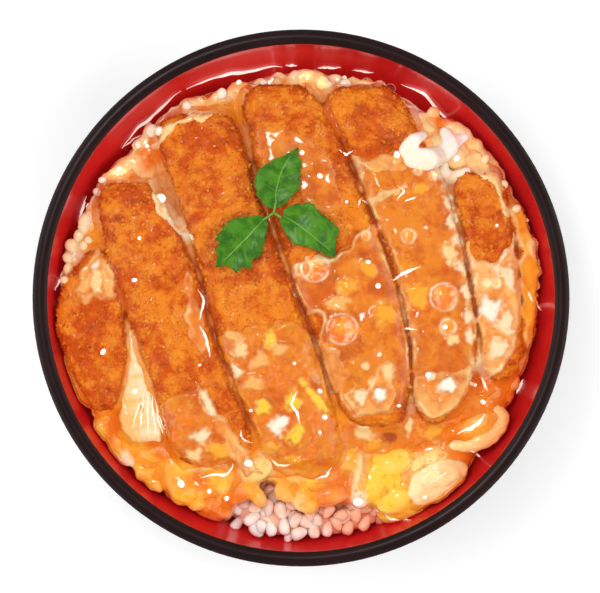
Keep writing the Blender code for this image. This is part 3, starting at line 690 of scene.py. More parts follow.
bpy.ops.mesh.primitive_uv_sphere_add(segments=12, ring_count=10, radius=1)
grain_ball = added("grain")
use_modifier(grain_ball, "TRIANGULATE")
grain_points, grain_faces = taken_apart(grain_ball)
grain_points = grain_points[:, [2, 0, 1]]
round_about = np.hypot(grain_points[:, 1], grain_points[:, 2])
grain_points[:, 1:] *= (np.maximum(round_about, 1e-6) ** -0.25)[:, None]


def grain_shape(spot):
    """A plump grain with blunt ends, narrower at one end and bent a little."""
    x, y, z, turn, lean = spot
    shape = grain_points * np.array([GRAIN_LENGTH, GRAIN_WIDTH, GRAIN_WIDTH * 0.92]) / 2
    shape[:, 1:] *= (1 - 0.20 * grain_points[:, :1]) * draw.uniform(0.86, 1.06)
    shape[:, 0] *= draw.uniform(0.86, 1.08)
    shape[:, 1] += 0.25 * MM * grain_points[:, 0] ** 2
    roll = Matrix.Rotation(draw.uniform(0, FULL_TURN), 3, "X")
    lay = Matrix.Rotation(turn, 3, "Z") @ Matrix.Rotation(lean, 3, "Y") @ roll
    return shape @ np.array(lay).T + np.array([x, y, z])


# Each layer of loose grains: how far it lies over the heap, how many grains, and the space between them.
GRAIN_LAYERS = ((0.7 * MM, 130, 3.2 * MM), (1.8 * MM, 90, 3.8 * MM))
TRIES = 5000


def grain_spots():
    spots = []
    for x, y, degrees in EDGE_GRAINS:
        out = math.hypot(x, y) * MM
        z = max(top_at(heap_top, x * MM, y * MM, 0) + 0.9 * MM, wall_height(out + 0.6 * MM) + 2.4 * MM)
        spots.append((x * MM, y * MM, z, math.radians(degrees), 0.25))
    for lift, count, spacing in GRAIN_LAYERS:
        layer_spots = []
        for _ in range(TRIES):
            if len(layer_spots) >= count:
                break
            angle = NEAR_SIDE + draw.uniform(-0.44, 0.45)
            out = draw.uniform(54 * MM, 74 * MM)
            x, y = out * math.cos(angle), out * math.sin(angle)
            if any(math.hypot(x - a, y - b) < spacing for a, b, *_ in layer_spots + spots[:len(EDGE_GRAINS)]):
                continue
            z = top_at(heap_top, x, y)
            if z is None:
                continue
            z = max(z + lift, wall_height(out) + 2.2 * MM)
            layer_spots.append((x, y, z, angle + draw.gauss(0, 0.8), draw.uniform(-0.3, 0.3)))
        spots += layer_spots
    return spots


spots = grain_spots()
grains = scattered("rice_grains", spots, grain_shape, grain_faces)
keep_off_wall(grains, 0.1 * MM)
grains.data.shade_smooth()
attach(grains, "root")
print("grains:", len(spots), "with", triangles(grains), "triangles")

# %% [markdown]
# ## Cooked rice
# A cooked grain is moist and lets light in, so its shader scatters light below the surface. Sauce has
# run down from the egg and tints the grains that lie next to it, more on the right. Between the grains
# there is always sauce, so the heap under them has its colour.

# %% Rice material
def rice_finish(name, clean, soaked):
    made, shader, place = new_finish(
        name, Subsurface_Weight=0.5, Subsurface_Scale=1.6 * MM, Subsurface_Radius=(1.0, 0.75, 0.6),
        Specular_IOR_Level=0.3, Roughness=0.28, Coat_Weight=0.7, Coat_Roughness=0.06)
    share = (place.axis(0) * 30 + place.axis(1) * 75 + place.noise(6 * MM) * 1.6).smooth(-4.9, -4.1)
    feed(shader,
         Base_Color=share.blend(clean, soaked),
         Normal=bump(place.noise(1.2 * MM), 0.15 * MM, 0.4))
    return made


heap.data.materials.append(rice_finish("sauced_rice", (0.95, 0.56, 0.40), (0.88, 0.34, 0.20)))
grains.data.materials.append(rice_finish("cooked_rice", (1.0, 0.92, 0.84), (0.94, 0.50, 0.33)))

# %% [markdown]
# ## The soft-set egg
# Beaten egg is poured round the cutlet and just sets: it lies in folds and curds, whitish where there
# is more white, deep yellow where there is yolk, and orange where sauce has soaked in. The solid of the
# egg gives the layer. Lumps of many sizes are strewn along the places where folds show, melted into
# it by a voxel remesh, and smoothed, so that they run into each other as soft egg does.

# %% The curds that can be told apart
# x, y, length, width in mm, degrees turned from +X, rise over the bed in mm, tone.
CURD_MARKS = (
    # left and far-left wall
    (-71.5, 14.1, 6.1, 5.2, 0, 5, "white"), (-68.7, 16.6, 4.6, 4.3, 0, 6, "cream"),
    (-70.5, 9.2, 5.2, 4.6, 30, 4.5, "cream"), (-72.1, 4.6, 3.7, 3.1, 0, 4, "white"),
    (-67.5, 23.3, 4.6, 6.7, 10, 6, "white"), (-64.1, 28.5, 5.5, 4.3, 60, 5, "peach"),
    (-65.3, 17.8, 5.5, 6.7, 10, 5, "gold"), (-58.0, 38.6, 8.0, 4.9, 55, 6, "cream"),
    (-60.1, 33.1, 5.5, 4.3, 50, 5, "peach"), (-53.1, 42.9, 6.7, 4.6, 30, 5, "cream"),
    (-49.4, 48.5, 5.5, 4.3, 60, 5, "cream"), (-45.7, 52.1, 6.1, 4.3, 20, 5.5, "cream"),
    (-41.7, 50.0, 6.7, 4.9, 30, 7, "gold"), (-38.3, 55.8, 6.1, 4.0, 35, 5.5, "cream"),
    (-34.0, 60.4, 7.4, 3.7, 10, 5, "cream"), (-29.1, 59.8, 8.0, 4.3, 10, 6, "peach"),
    (-34.0, 55.2, 9.2, 6.1, 30, 7, "gold"), (-24.2, 58.3, 6.7, 5.5, -20, 6, "gold"),
    # far wall
    (-19.3, 65.6, 8.6, 6.7, -15, 6, "peach"), (-15.0, 63.2, 7.4, 4.9, 0, 5, "gold"),
    (-9.5, 65.6, 5.5, 3.7, 0, 5, "cream"), (-5.5, 66.2, 4.3, 3.1, 0, 5, "peach"),
    (1.5, 69.0, 6.7, 4.3, 10, 6, "cream"), (6.4, 67.5, 7.4, 4.9, -35, 7, "cream"),
    (8.3, 66.9, 3.1, 2.5, 0, 8, "white"), (13.5, 66.2, 5.5, 3.7, 0, 5, "peach"),
    (18.7, 66.9, 6.1, 4.0, 5, 5.5, "cream"), (23.6, 66.2, 5.5, 4.3, -30, 6, "cream"),
    (26.4, 64.4, 4.3, 3.1, -50, 6, "white"), (34.7, 57.0, 4.3, 6.1, 30, 8, "white"),
    (38.3, 54.0, 6.1, 8.0, 30, 8, "cream"), (44.2, 54.0, 6.1, 4.3, -30, 6, "orange"),
    (49.4, 52.1, 6.7, 4.9, -35, 6, "cream"), (54.3, 47.8, 6.7, 4.9, -35, 5.5, "cream"),
    (58.9, 42.9, 6.7, 4.9, -60, 5.5, "cream"), (62.0, 38.6, 4.3, 6.1, -10, 5.5, "cream"),
    (63.5, 32.5, 3.7, 6.7, -5, 5.5, "peach"),
    # right wall
    (65.9, 26.4, 4.3, 8.0, 10, 6, "cream"), (69.0, 22.4, 3.1, 8.0, 15, 6, "white"),
    (70.2, 16.3, 4.9, 8.0, 15, 6, "gold"), (71.5, 9.2, 4.9, 6.7, 0, 6, "cream"),
    (70.2, 4.0, 5.5, 4.9, 0, 6, "cream"), (72.1, -0.6, 3.1, 4.9, 0, 5, "peach"),
    (70.8, -6.1, 4.3, 8.0, 0, 6, "gold"), (69.0, -12.3, 4.9, 6.1, -20, 6, "orange"),
    (65.9, -19.6, 6.7, 6.1, -30, 6, "orange"), (62.0, -16.6, 6.1, 7.4, 0, 7, "cream"),
    (60.1, -21.5, 4.9, 6.1, 0, 7, "peach"), (63.5, -25.1, 5.5, 4.9, -30, 6, "orange"),
    # near right
    (58.6, -28.8, 8.0, 6.1, 20, 7, "orange"), (54.3, -31.3, 7.4, 4.9, 25, 6.5, "honey"),
    (50.6, -35.0, 9.2, 4.3, 25, 6, "orange"), (57.4, -36.8, 9.2, 5.5, 40, 6, "gold"),
    (36.5, -43.6, 9.2, 6.1, 20, 7, "orange"), (30.4, -39.0, 8.0, 6.1, 10, 7.5, "orange"),
    (24.2, -43.6, 6.7, 5.5, 0, 7, "orange"), (18.7, -43.6, 6.1, 7.4, 60, 8, "cream"),
    (14.4, -46.6, 7.4, 4.9, 40, 8, "gold"), (27.9, -51.5, 12.3, 7.4, 30, 8.5, "yellow"),
    (21.8, -57.7, 10.4, 6.7, 50, 9, "yellow"), (29.7, -61.3, 14.1, 7.4, 14, 9, "yellow"),
    (36.5, -52.8, 9.2, 4.9, 30, 8, "straw"),
    # near side, over the rice
    (18.1, -62.0, 3.7, 5.5, -6, 10.5, "white"), (17.5, -54.3, 2.5, 12.3, -10, 10.5, "cream"),
    (8.9, -61.0, 13.5, 6.7, 10, 9.5, "orange"), (1.5, -62.0, 6.7, 9.8, 20, 9.5, "gold"),
    (-0.3, -63.5, 3.7, 4.9, 0, 9.5, "cream"), (8.9, -54.0, 12.3, 7.4, 20, 9, "orange"),
    (-0.3, -55.2, 9.2, 5.5, 0, 9, "gold"), (-13.8, -52.8, 11.0, 7.4, 30, 10.5, "cream"),
    (-18.7, -47.2, 4.3, 9.2, 35, 11, "peach"), (-29.4, -45.4, 9.2, 6.1, 0, 10, "orange"),
    # near left
    (-36.5, -57.7, 13.5, 9.2, -20, 8.8, "gold"), (-40.2, -52.8, 9.2, 6.1, -20, 8, "gold"),
    (-24.2, -55.8, 11.0, 7.4, 20, 8.5, "gold"), (-28.8, -63.8, 11.0, 5.5, -15, 7, "orange"),
    (-19.9, -59.8, 9.2, 8.0, 0, 7.5, "orange"), (-24.2, -66.2, 6.1, 3.7, -10, 6, "orange"),
    (-43.2, -48.2, 8.0, 5.5, -30, 8, "orange"), (-47.8, -49.7, 7.4, 5.5, -20, 7.5, "gold"),
    (-44.8, -53.6, 8.0, 6.0, -20, 6.5, "gold"),
    # ribbons at the near right, and the band between slice 1 and the wall
    (17.0, -39.6, 7.5, 3.6, 35, 8.5, "ivory"), (22.8, -42.0, 3.0, 7.0, 10, 8.5, "ivory"),
    (33.4, -39.6, 2.4, 8.5, -8, 8.5, "ivory"), (47.5, -47.4, 12.0, 3.6, 10, 6.0, "orange"),
    (-73.6, -13.6, 3.4, 8.5, 8, 6.5, "peach"), (-72.8, -21.6, 3.8, 8.5, 14, 6.5, "gold"),
    (-70.6, -29.4, 4.2, 8.5, 22, 6.5, "gold"),
    # the rest, from all round
    (-2.2, 66.0, 5.5, 4.0, 0, 6.0, "cream"), (-11.5, 64.4, 5.0, 4.0, 0, 5.5, "gold"),
    (13.6, -38.4, 4.6, 9.0, 0, 9.5, "gold"), (34.2, -39.0, 6.0, 6.0, 0, 9.0, "orange"),
    # The two sauce marks here lie low and are painted shade in the pockets at the near right.
    (28.6, -41.9, 6.5, 3.0, 8, 5, "sauce"), (41.6, -38.2, 8.0, 2.4, 14, 5, "sauce"),
    (46.4, -42.6, 7.0, 3.0, 25, 6, "orange"), (54.6, -39.4, 11.0, 6.0, 25, 9.2, "gold"),
    (40.6, -49.4, 12.0, 4.6, 20, 8.6, "straw"), (36.6, -58.6, 5.0, 9.0, -20, 8.8, "yellow"),
    (-59.5, 30.5, 12.0, 6.0, 55, 5.0, "orange"), (-65.0, 20.0, 9.0, 5.0, 70, 4.6, "gold"),
    (-47.0, 46.5, 9.0, 5.0, 45, 4.8, "orange"), (-54.9, -50.0, 5.6, 4.6, -35, 8, "milk"),
    (-58.0, -46.0, 6.1, 6.1, -50, 7, "gold"),
    (-52.4, -43.6, 7.4, 5.5, -40, 8, "yellow"), (-62.3, -37.4, 6.7, 6.7, -30, 6.5, "gold"),
    (-66.6, -31.3, 6.1, 7.4, 20, 6.5, "gold"), (-68.4, -25.8, 4.3, 5.5, 10, 6, "cream"),
    (-64.1, -27.6, 4.9, 6.1, 10, 6.5, "orange"), (-70.2, -19.0, 3.1, 6.7, 10, 5.5, "peach"),
    (-73.3, -9.8, 2.5, 7.4, 15, 5, "cream"),
)

# %% Where smaller curds are strewn
# Each zone: a path of x, y in mm, its width, how many curds, their size range, their rise over the
# bed, and the tones they are drawn from.
ZONES = (
    (((-74, -4), (-73.5, 8), (-70.5, 18)), 1.5, 9, (3.2, 4.6), (4.5, 6.5), ("ivory", "white")),
    (((-70.5, 18), (-66, 30), (-58, 41)), 2, 7, (3.6, 5.0), (4.0, 6.5), ("ivory", "peach", "cream")),
    (((-53, 47), (-46, 54), (-36, 60), (-28, 62), (-20, 67)), 3, 10, (3.2, 5.0), (4.0, 6.5),
     ("ivory", "cream")),
    (((-15, 68), (-4, 68.5), (8, 69), (20, 67.5), (27, 66)), 2, 12, (3.0, 4.8), (4.0, 6.5),
     ("peach", "ivory")),
    (((34, 60), (42, 55), (50, 51), (58, 44), (63, 34)), 6, 16, (2.8, 5.0), (5.0, 8.0),
     ("ivory", "white", "peach")),
    (((66, 28), (71.5, 15), (72, 0), (70, -12), (66, -24)), 4, 26, (2, 4), (4.5, 7.0),
     ("gold", "cream", "orange")),
    (((64, -28), (58, -35), (48, -38), (36, -42), (24, -44)), 8, 17, (4, 7), (5.0, 8.0),
     ("honey", "orange", "orange", "honey")),
    (((-22, -50), (-10, -56), (2, -58), (14, -54)), 12, 13, (4, 7.5), (7.0, 9.5), ("gold", "yellow", "gold")),
    (((-48, -52), (-38, -58), (-28, -60), (-22, -58)), 10, 13, (4.5, 7.5), (6.0, 9.0),
     ("gold", "yellow", "orange")),
    (((-72, -18), (-69, -31), (-62, -41), (-55, -49), (-47, -55)), 6, 18, (3.5, 6.5), (5.0, 7.5),
     ("gold", "yellow", "gold", "orange")),
)

# %% List the curds
TONES = {
    # Milk is the white of the painted highlights on the films.
    "milk": (1.0, 0.94, 0.78),
    "white": (0.99, 0.90, 0.70),
    "cream": (0.97, 0.68, 0.30),
    "ivory": (0.98, 0.78, 0.48),
    "straw": (0.99, 0.74, 0.24),
    "peach": (0.94, 0.46, 0.13),
    "yellow": (0.99, 0.63, 0.050),
    "gold": (0.96, 0.40, 0.025),
    "orange": (0.86, 0.19, 0.009),
    # Sauce also serves as painted shade: in the egg's deepest creases and in low pockets at the near right.
    "sauce": (0.42, 0.075, 0.010),
    "honey": (0.80, 0.23, 0.015),
}
KEYS = ("x", "y", "long", "wide", "turn", "rise", "tone")
EGG_SEED = 11
draw = random.Random(EGG_SEED)
lumps = [dict(zip(KEYS, mark)) for mark in CURD_MARKS]
for lump in lumps:
    lump["turn"] = math.radians(lump["turn"])


PATH_END = 0.999


def on_path(points, share):
    """The point at a share of a path's length, and the path's heading there."""
    lengths = [math.dist(a, b) for a, b in zip(points, points[1:])]
    left = share * sum(lengths)
    for (ax, ay), (bx, by), length in zip(points, points[1:], lengths):
        heading = math.atan2(by - ay, bx - ax)
        if left <= length:
            return ax + (bx - ax) * left / length, ay + (by - ay) * left / length, heading
        left -= length
    return bx, by, heading


def strew(zone):
    path, width, count, sizes, rises, tones = zone
    for number in range(count):
        x, y, heading = on_path(path, (number + draw.random()) / count)
        x += draw.uniform(-0.5, 0.5) * width
        y += draw.uniform(-0.5, 0.5) * width
        size = draw.uniform(*sizes)
        values = (x, y, size, size * draw.uniform(0.6, 0.95), heading + draw.gauss(0, 0.6),
                  draw.uniform(*rises), draw.choice(tones))
        lumps.append(dict(zip(KEYS, values)))


for zone in ZONES:
    strew(zone)
print("curds of egg:", len(lumps))

# %% Melt them together
LUMP_THICKEST = 5.5
LUMP_MARGIN = 0.8


def lump_ball(lump):
    """One curd: a ball that is pressed out of round and flattened, at its place on the bed."""
    bpy.ops.mesh.primitive_ico_sphere_add(subdivisions=3, radius=1)
    ball = added("lump")
    shape = coordinates(ball.data)
    shift = Vector((lump["x"], lump["y"], 0))
    wobble = np.array([noise.noise(Vector(point) * 1.3 + shift) for point in shape])
    shape *= (1 + 0.18 * wobble)[:, None]
    thick = min(0.95 * lump["wide"], LUMP_THICKEST)
    shape *= np.array([lump["long"] + LUMP_MARGIN, lump["wide"] + LUMP_MARGIN, thick]) / 2 * MM
    cos, sin = math.cos(lump["turn"]), math.sin(lump["turn"])
    x, y = lump["x"] * MM, lump["y"] * MM
    turned = np.stack([shape[:, 0] * cos - shape[:, 1] * sin + x,
                       shape[:, 0] * sin + shape[:, 1] * cos + y,
                       shape[:, 2] + bed_height(x, y) + (lump["rise"] + 1.5 - thick / 2) * MM], axis=1)
    move_points(ball.data, turned)
    return ball


def soft_step(values, low, high):
    share = np.clip((values - low) / (high - low), 0, 1)
    return share * share * (3 - 2 * share)


# How far the egg's edge stands from the bowl's middle, every ten degrees round from +X, in mm. At the
# near side the rice shows, and there the edge stays as it is.
EDGE_REACH = (
    73.4, 76.2, 74.2, 74.0, 74.0, 73.4, 69.4, 71.2, 70.0, 71.2, 69.6, 69.4,
    71.6, 71.6, 70.8, 72.6, 71.6, 74.6, 75.4, 76.2, 76.4, 74.8, 76.4, 75.2,
    74.8, 74.4, 72.0, 72.0, 73.0, 76.2, 76.4, 76.0, 73.6, 74.2, 72.6, 73.6,
)


EDGE_PULL = 0.8
EDGE_STARTS = 58 * MM
EDGE_PULLED_FULLY = 68 * MM


def even_edge(piece):
    """Brings the edge most of the way to its reach, and so evens out the spikes along it."""
    points = coordinates(piece.data)
    out = np.hypot(points[:, 0], points[:, 1])
    degrees = np.degrees(np.arctan2(points[:, 1], points[:, 0])) % 360
    widest = np.zeros(180)
    np.maximum.at(widest, (degrees / 2).astype(int) % 180, out)
    widest = (np.roll(widest, 1) + 2 * widest + np.roll(widest, -1)) / 4
    now = np.interp(degrees, np.arange(1, 360, 2), widest, period=360)
    wanted = np.interp(degrees, np.arange(0, 360, 10), EDGE_REACH, period=360) * MM
    beside_rice = 1 - soft_step(10 - np.abs(degrees - 270) / 3, 2, 5)
    shift = EDGE_PULL * (wanted - now) * beside_rice * soft_step(out, EDGE_STARTS, EDGE_PULLED_FULLY)
    points[:, :2] *= (1 + shift / np.maximum(out, 1 * MM))[:, None]
    move_points(piece.data, points)


egg = copy_of_solid("egg", "soft_egg")
melt(egg, 1.1 * MM, 0.6, 10)
egg = join([egg] + [lump_ball(lump) for lump in lumps], "soft_egg")
melt(egg, 0.78 * MM, 0.5, 4)
folds = relief("folds", "CLOUDS", 4.0 * MM, noise_depth=1)
raise_by(egg, folds, 0.45 * MM, 0.5)
even_edge(egg)
keep_off_wall(egg)
egg.data.shade_smooth()
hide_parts("egg")
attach(egg, "root")
print("egg:", triangles(egg), "triangles")

# %% [markdown]
# ## Yolk, white, and painted shade in the folds
# The egg's colour is painted onto its points before any shader: each point takes the tones of the
# lumps round it, and more of the nearer ones. A point that lies deeper than the melted shape is painted
# orange, and darker in the deepest creases, as painted shade; one that stands proud turns pale, as painted
# highlight.

# %% Paint the egg
def ripple(points, size, seed=0.0):
    """Smooth noise between about -1 and 1 at each point, with waves of this size, in the points' unit."""
    shift = Vector((seed, 3 * seed, 0))
    return np.array([noise.noise(Vector(point) / size + shift) for point in points])


def tones_at(points, marks, reach):
    """The colour at x, y points in mm, from marks with a place, a size and a tone."""
    total = np.zeros(len(points)) + 1e-9
    colour = np.zeros((len(points), 3))
    for mark in marks:
        way = points[:, :2] - np.array([mark["x"], mark["y"]])
        cos, sin = math.cos(mark["turn"]), math.sin(mark["turn"])
        along = (way[:, 0] * cos + way[:, 1] * sin) / (0.5 * mark["long"] + 0.6)
        across = (way[:, 1] * cos - way[:, 0] * sin) / (0.5 * mark["wide"] + 0.6)
        weight = np.exp(-3.2 * (along**2 + across**2) / reach**2) + 1e-5 / (1 + along**2 + across**2)
        total += weight
        colour += weight[:, None] * np.array(TONES[mark["tone"]])
    return colour / total[:, None]


egg_places = coordinates(egg.data) / MM
blurred = egg_places + 0.8 * np.stack([ripple(egg_places, 3, seed) for seed in (1, 2, 3)], axis=1)
painted = tones_at(blurred, lumps, 1.0)
melted = egg.copy()
melted.data = egg.data.copy()
bpy.context.scene.collection.objects.link(melted)
use_modifier(melted, "SMOOTH", factor=0.5, iterations=30)
outward = np.empty(len(egg.data.vertices) * 3)
egg.data.vertices.foreach_get("normal", outward)
proud = ((coordinates(egg.data) - coordinates(melted.data)) * outward.reshape(-1, 3)).sum(axis=1) / MM
bpy.data.objects.remove(melted, do_unlink=True)


def toned(colours, share, tone):
    """The colours with a share of one tone mixed in."""
    return colours + share[:, None] * (np.array(TONES[tone]) - colours)


unevenness = proud / proud.std()
# Painted shade in the folds and their deepest creases, and a painted highlight on the proud places.
painted = toned(painted, 0.70 * soft_step(-unevenness, 0.3, 2.4), "orange")
painted = toned(painted, 0.40 * soft_step(-unevenness, 1.6, 3.2), "sauce")
painted = toned(painted, 0.18 * soft_step(unevenness, 0.6, 2.2), "ivory")
store(egg, "tone", painted, "COLOR")
print("egg stands proud of its mean by up to", round(float(proud.max()), 2), "mm")


def veins_of_white(place):
    """Wandering bands where strands of white have set."""
    wander = place.noise(8 * MM, 2.0, 0.5, 0.8)
    return (1 - abs(wander * 2 - 1)).smooth(0.84, 1.0)


egg_finish, egg_shader, place = new_finish(
    "soft_egg", Subsurface_Weight=0.30, Subsurface_Scale=2.0 * MM, Subsurface_Radius=(1.0, 0.70, 0.35),
    Specular_IOR_Level=0.2, Coat_Weight=0.9, Coat_Roughness=0.05, Coat_IOR=1.55)
tone = place.stored("tone", 0)
veil = place.noise(5 * MM, 4.0, 0.6, 1.2)
specks = place.noise(1.5 * MM, 3.0)
milky = (veil * 0.7 + specks * 0.3).smooth(0.53, 0.64) * 0.26 + veins_of_white(place) * 0.10
saucy = (1 - veil * 0.7 - specks * 0.3).smooth(0.52, 0.66) * 0.55
feed(egg_shader,
     Base_Color=saucy.blend(milky.blend(tone, TONES["straw"]), TONES["orange"]),
     Roughness=place.noise(3 * MM).smooth(0.3, 0.7) * 0.15 + 0.22,
     Normal=bump(place.noise(2.6 * MM, 2.0), 0.30 * MM, 0.3))
egg.data.materials.append(egg_finish)

# %% [markdown]
# ## The curds of egg white
# Three larger pieces of set white lie apart from the folds: a strip between the first two slices, a
# curd bent round on itself and a plump one. They keep their solids' form, with fine folds on it.

# %% The three curds
# Name, colour at one end, colour at the other, middle x and y in mm, and the way that the colour changes,
# in degrees from +X.
CURDS = {
    "egg_white_strip": ("white_strip", (0.95, 0.54, 0.17), (0.98, 0.82, 0.54), (-50.5, -28), 10),
    "egg_white_curd_bent": ("white_curd_bent", (0.99, 0.76, 0.32), (0.93, 0.49, 0.17), (53, -40), -20),
    "egg_white_curd_plump": ("white_curd_plump", (1.0, 0.84, 0.44), (0.93, 0.50, 0.19), (43, -57), -25),
}
# The way that each curd's fine ridges run, in degrees from +X.
RIDGE_DEGREES = {"egg_white_strip": -78, "egg_white_curd_bent": 25, "egg_white_curd_plump": 28}


def white_finish(name, low, high, middle, degrees):
    made, shader, place = new_finish(
        name, Subsurface_Weight=0.35, Subsurface_Scale=1.8 * MM, Subsurface_Radius=(1.0, 0.6, 0.3),
        Specular_IOR_Level=0.2, Coat_Weight=1.0, Coat_Roughness=0.04, Coat_IOR=1.55)
    turned = place.stretched(1, 1, 1, math.radians(-degrees))
    cos, sin = math.cos(math.radians(degrees)), math.sin(math.radians(degrees))
    along = turned.axis(0) - (middle[0] * cos + middle[1] * sin) * MM
    veil = turned.stretched(0.4, 1, 1).noise(5 * MM, 4.0, 0.6, 0.8)
    feed(shader,
         Base_Color=(along * 110 + (veil - 0.5) * 3.0).smooth(-0.8, 0.8).blend(low, high),
         Roughness=place.noise(3 * MM) * 0.2 + 0.16,
         Normal=bump(place.noise(1.6 * MM, 3.0), 0.3 * MM, 0.4))
    return made


curds = []
for node, (name, *colours) in CURDS.items():
    curd = copy_of_solid(node, name)
    melt(curd, 0.5 * MM, 0.6, 10)
    raise_by(curd, folds, 1.0 * MM, 0.5)
    points = coordinates(curd.data)
    turn = math.radians(RIDGE_DEGREES[node])
    along = points[:, 0] * math.cos(turn) + points[:, 1] * math.sin(turn)
    across = points[:, 1] * math.cos(turn) - points[:, 0] * math.sin(turn)
    ridges = ripple(np.stack([along / 6, across, points[:, 2]], axis=1) / MM, 1.1, 3)
    points[:, 2] += 0.35 * MM * ridges
    move_points(curd.data, points)
    keep_off_wall(curd)
    curd.data.shade_smooth()
    curd.data.materials.append(white_finish(name, *colours))
    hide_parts(node)
    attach(curd, "root")
    curds.append(curd)
    print(name, triangles(curd), "triangles")

# %% [markdown]
# ## Films of egg over the cutlet
# Thin egg has run over the slices: it is clear like honey in the middle, and pale and thicker where
# its edge has set. A film follows what it lies on, so it is made as one fine grid that is dropped
# onto the slices and raised by its thickness, instead of as separate shells. Each film is given by
# its outline, and noise makes the outline ragged.

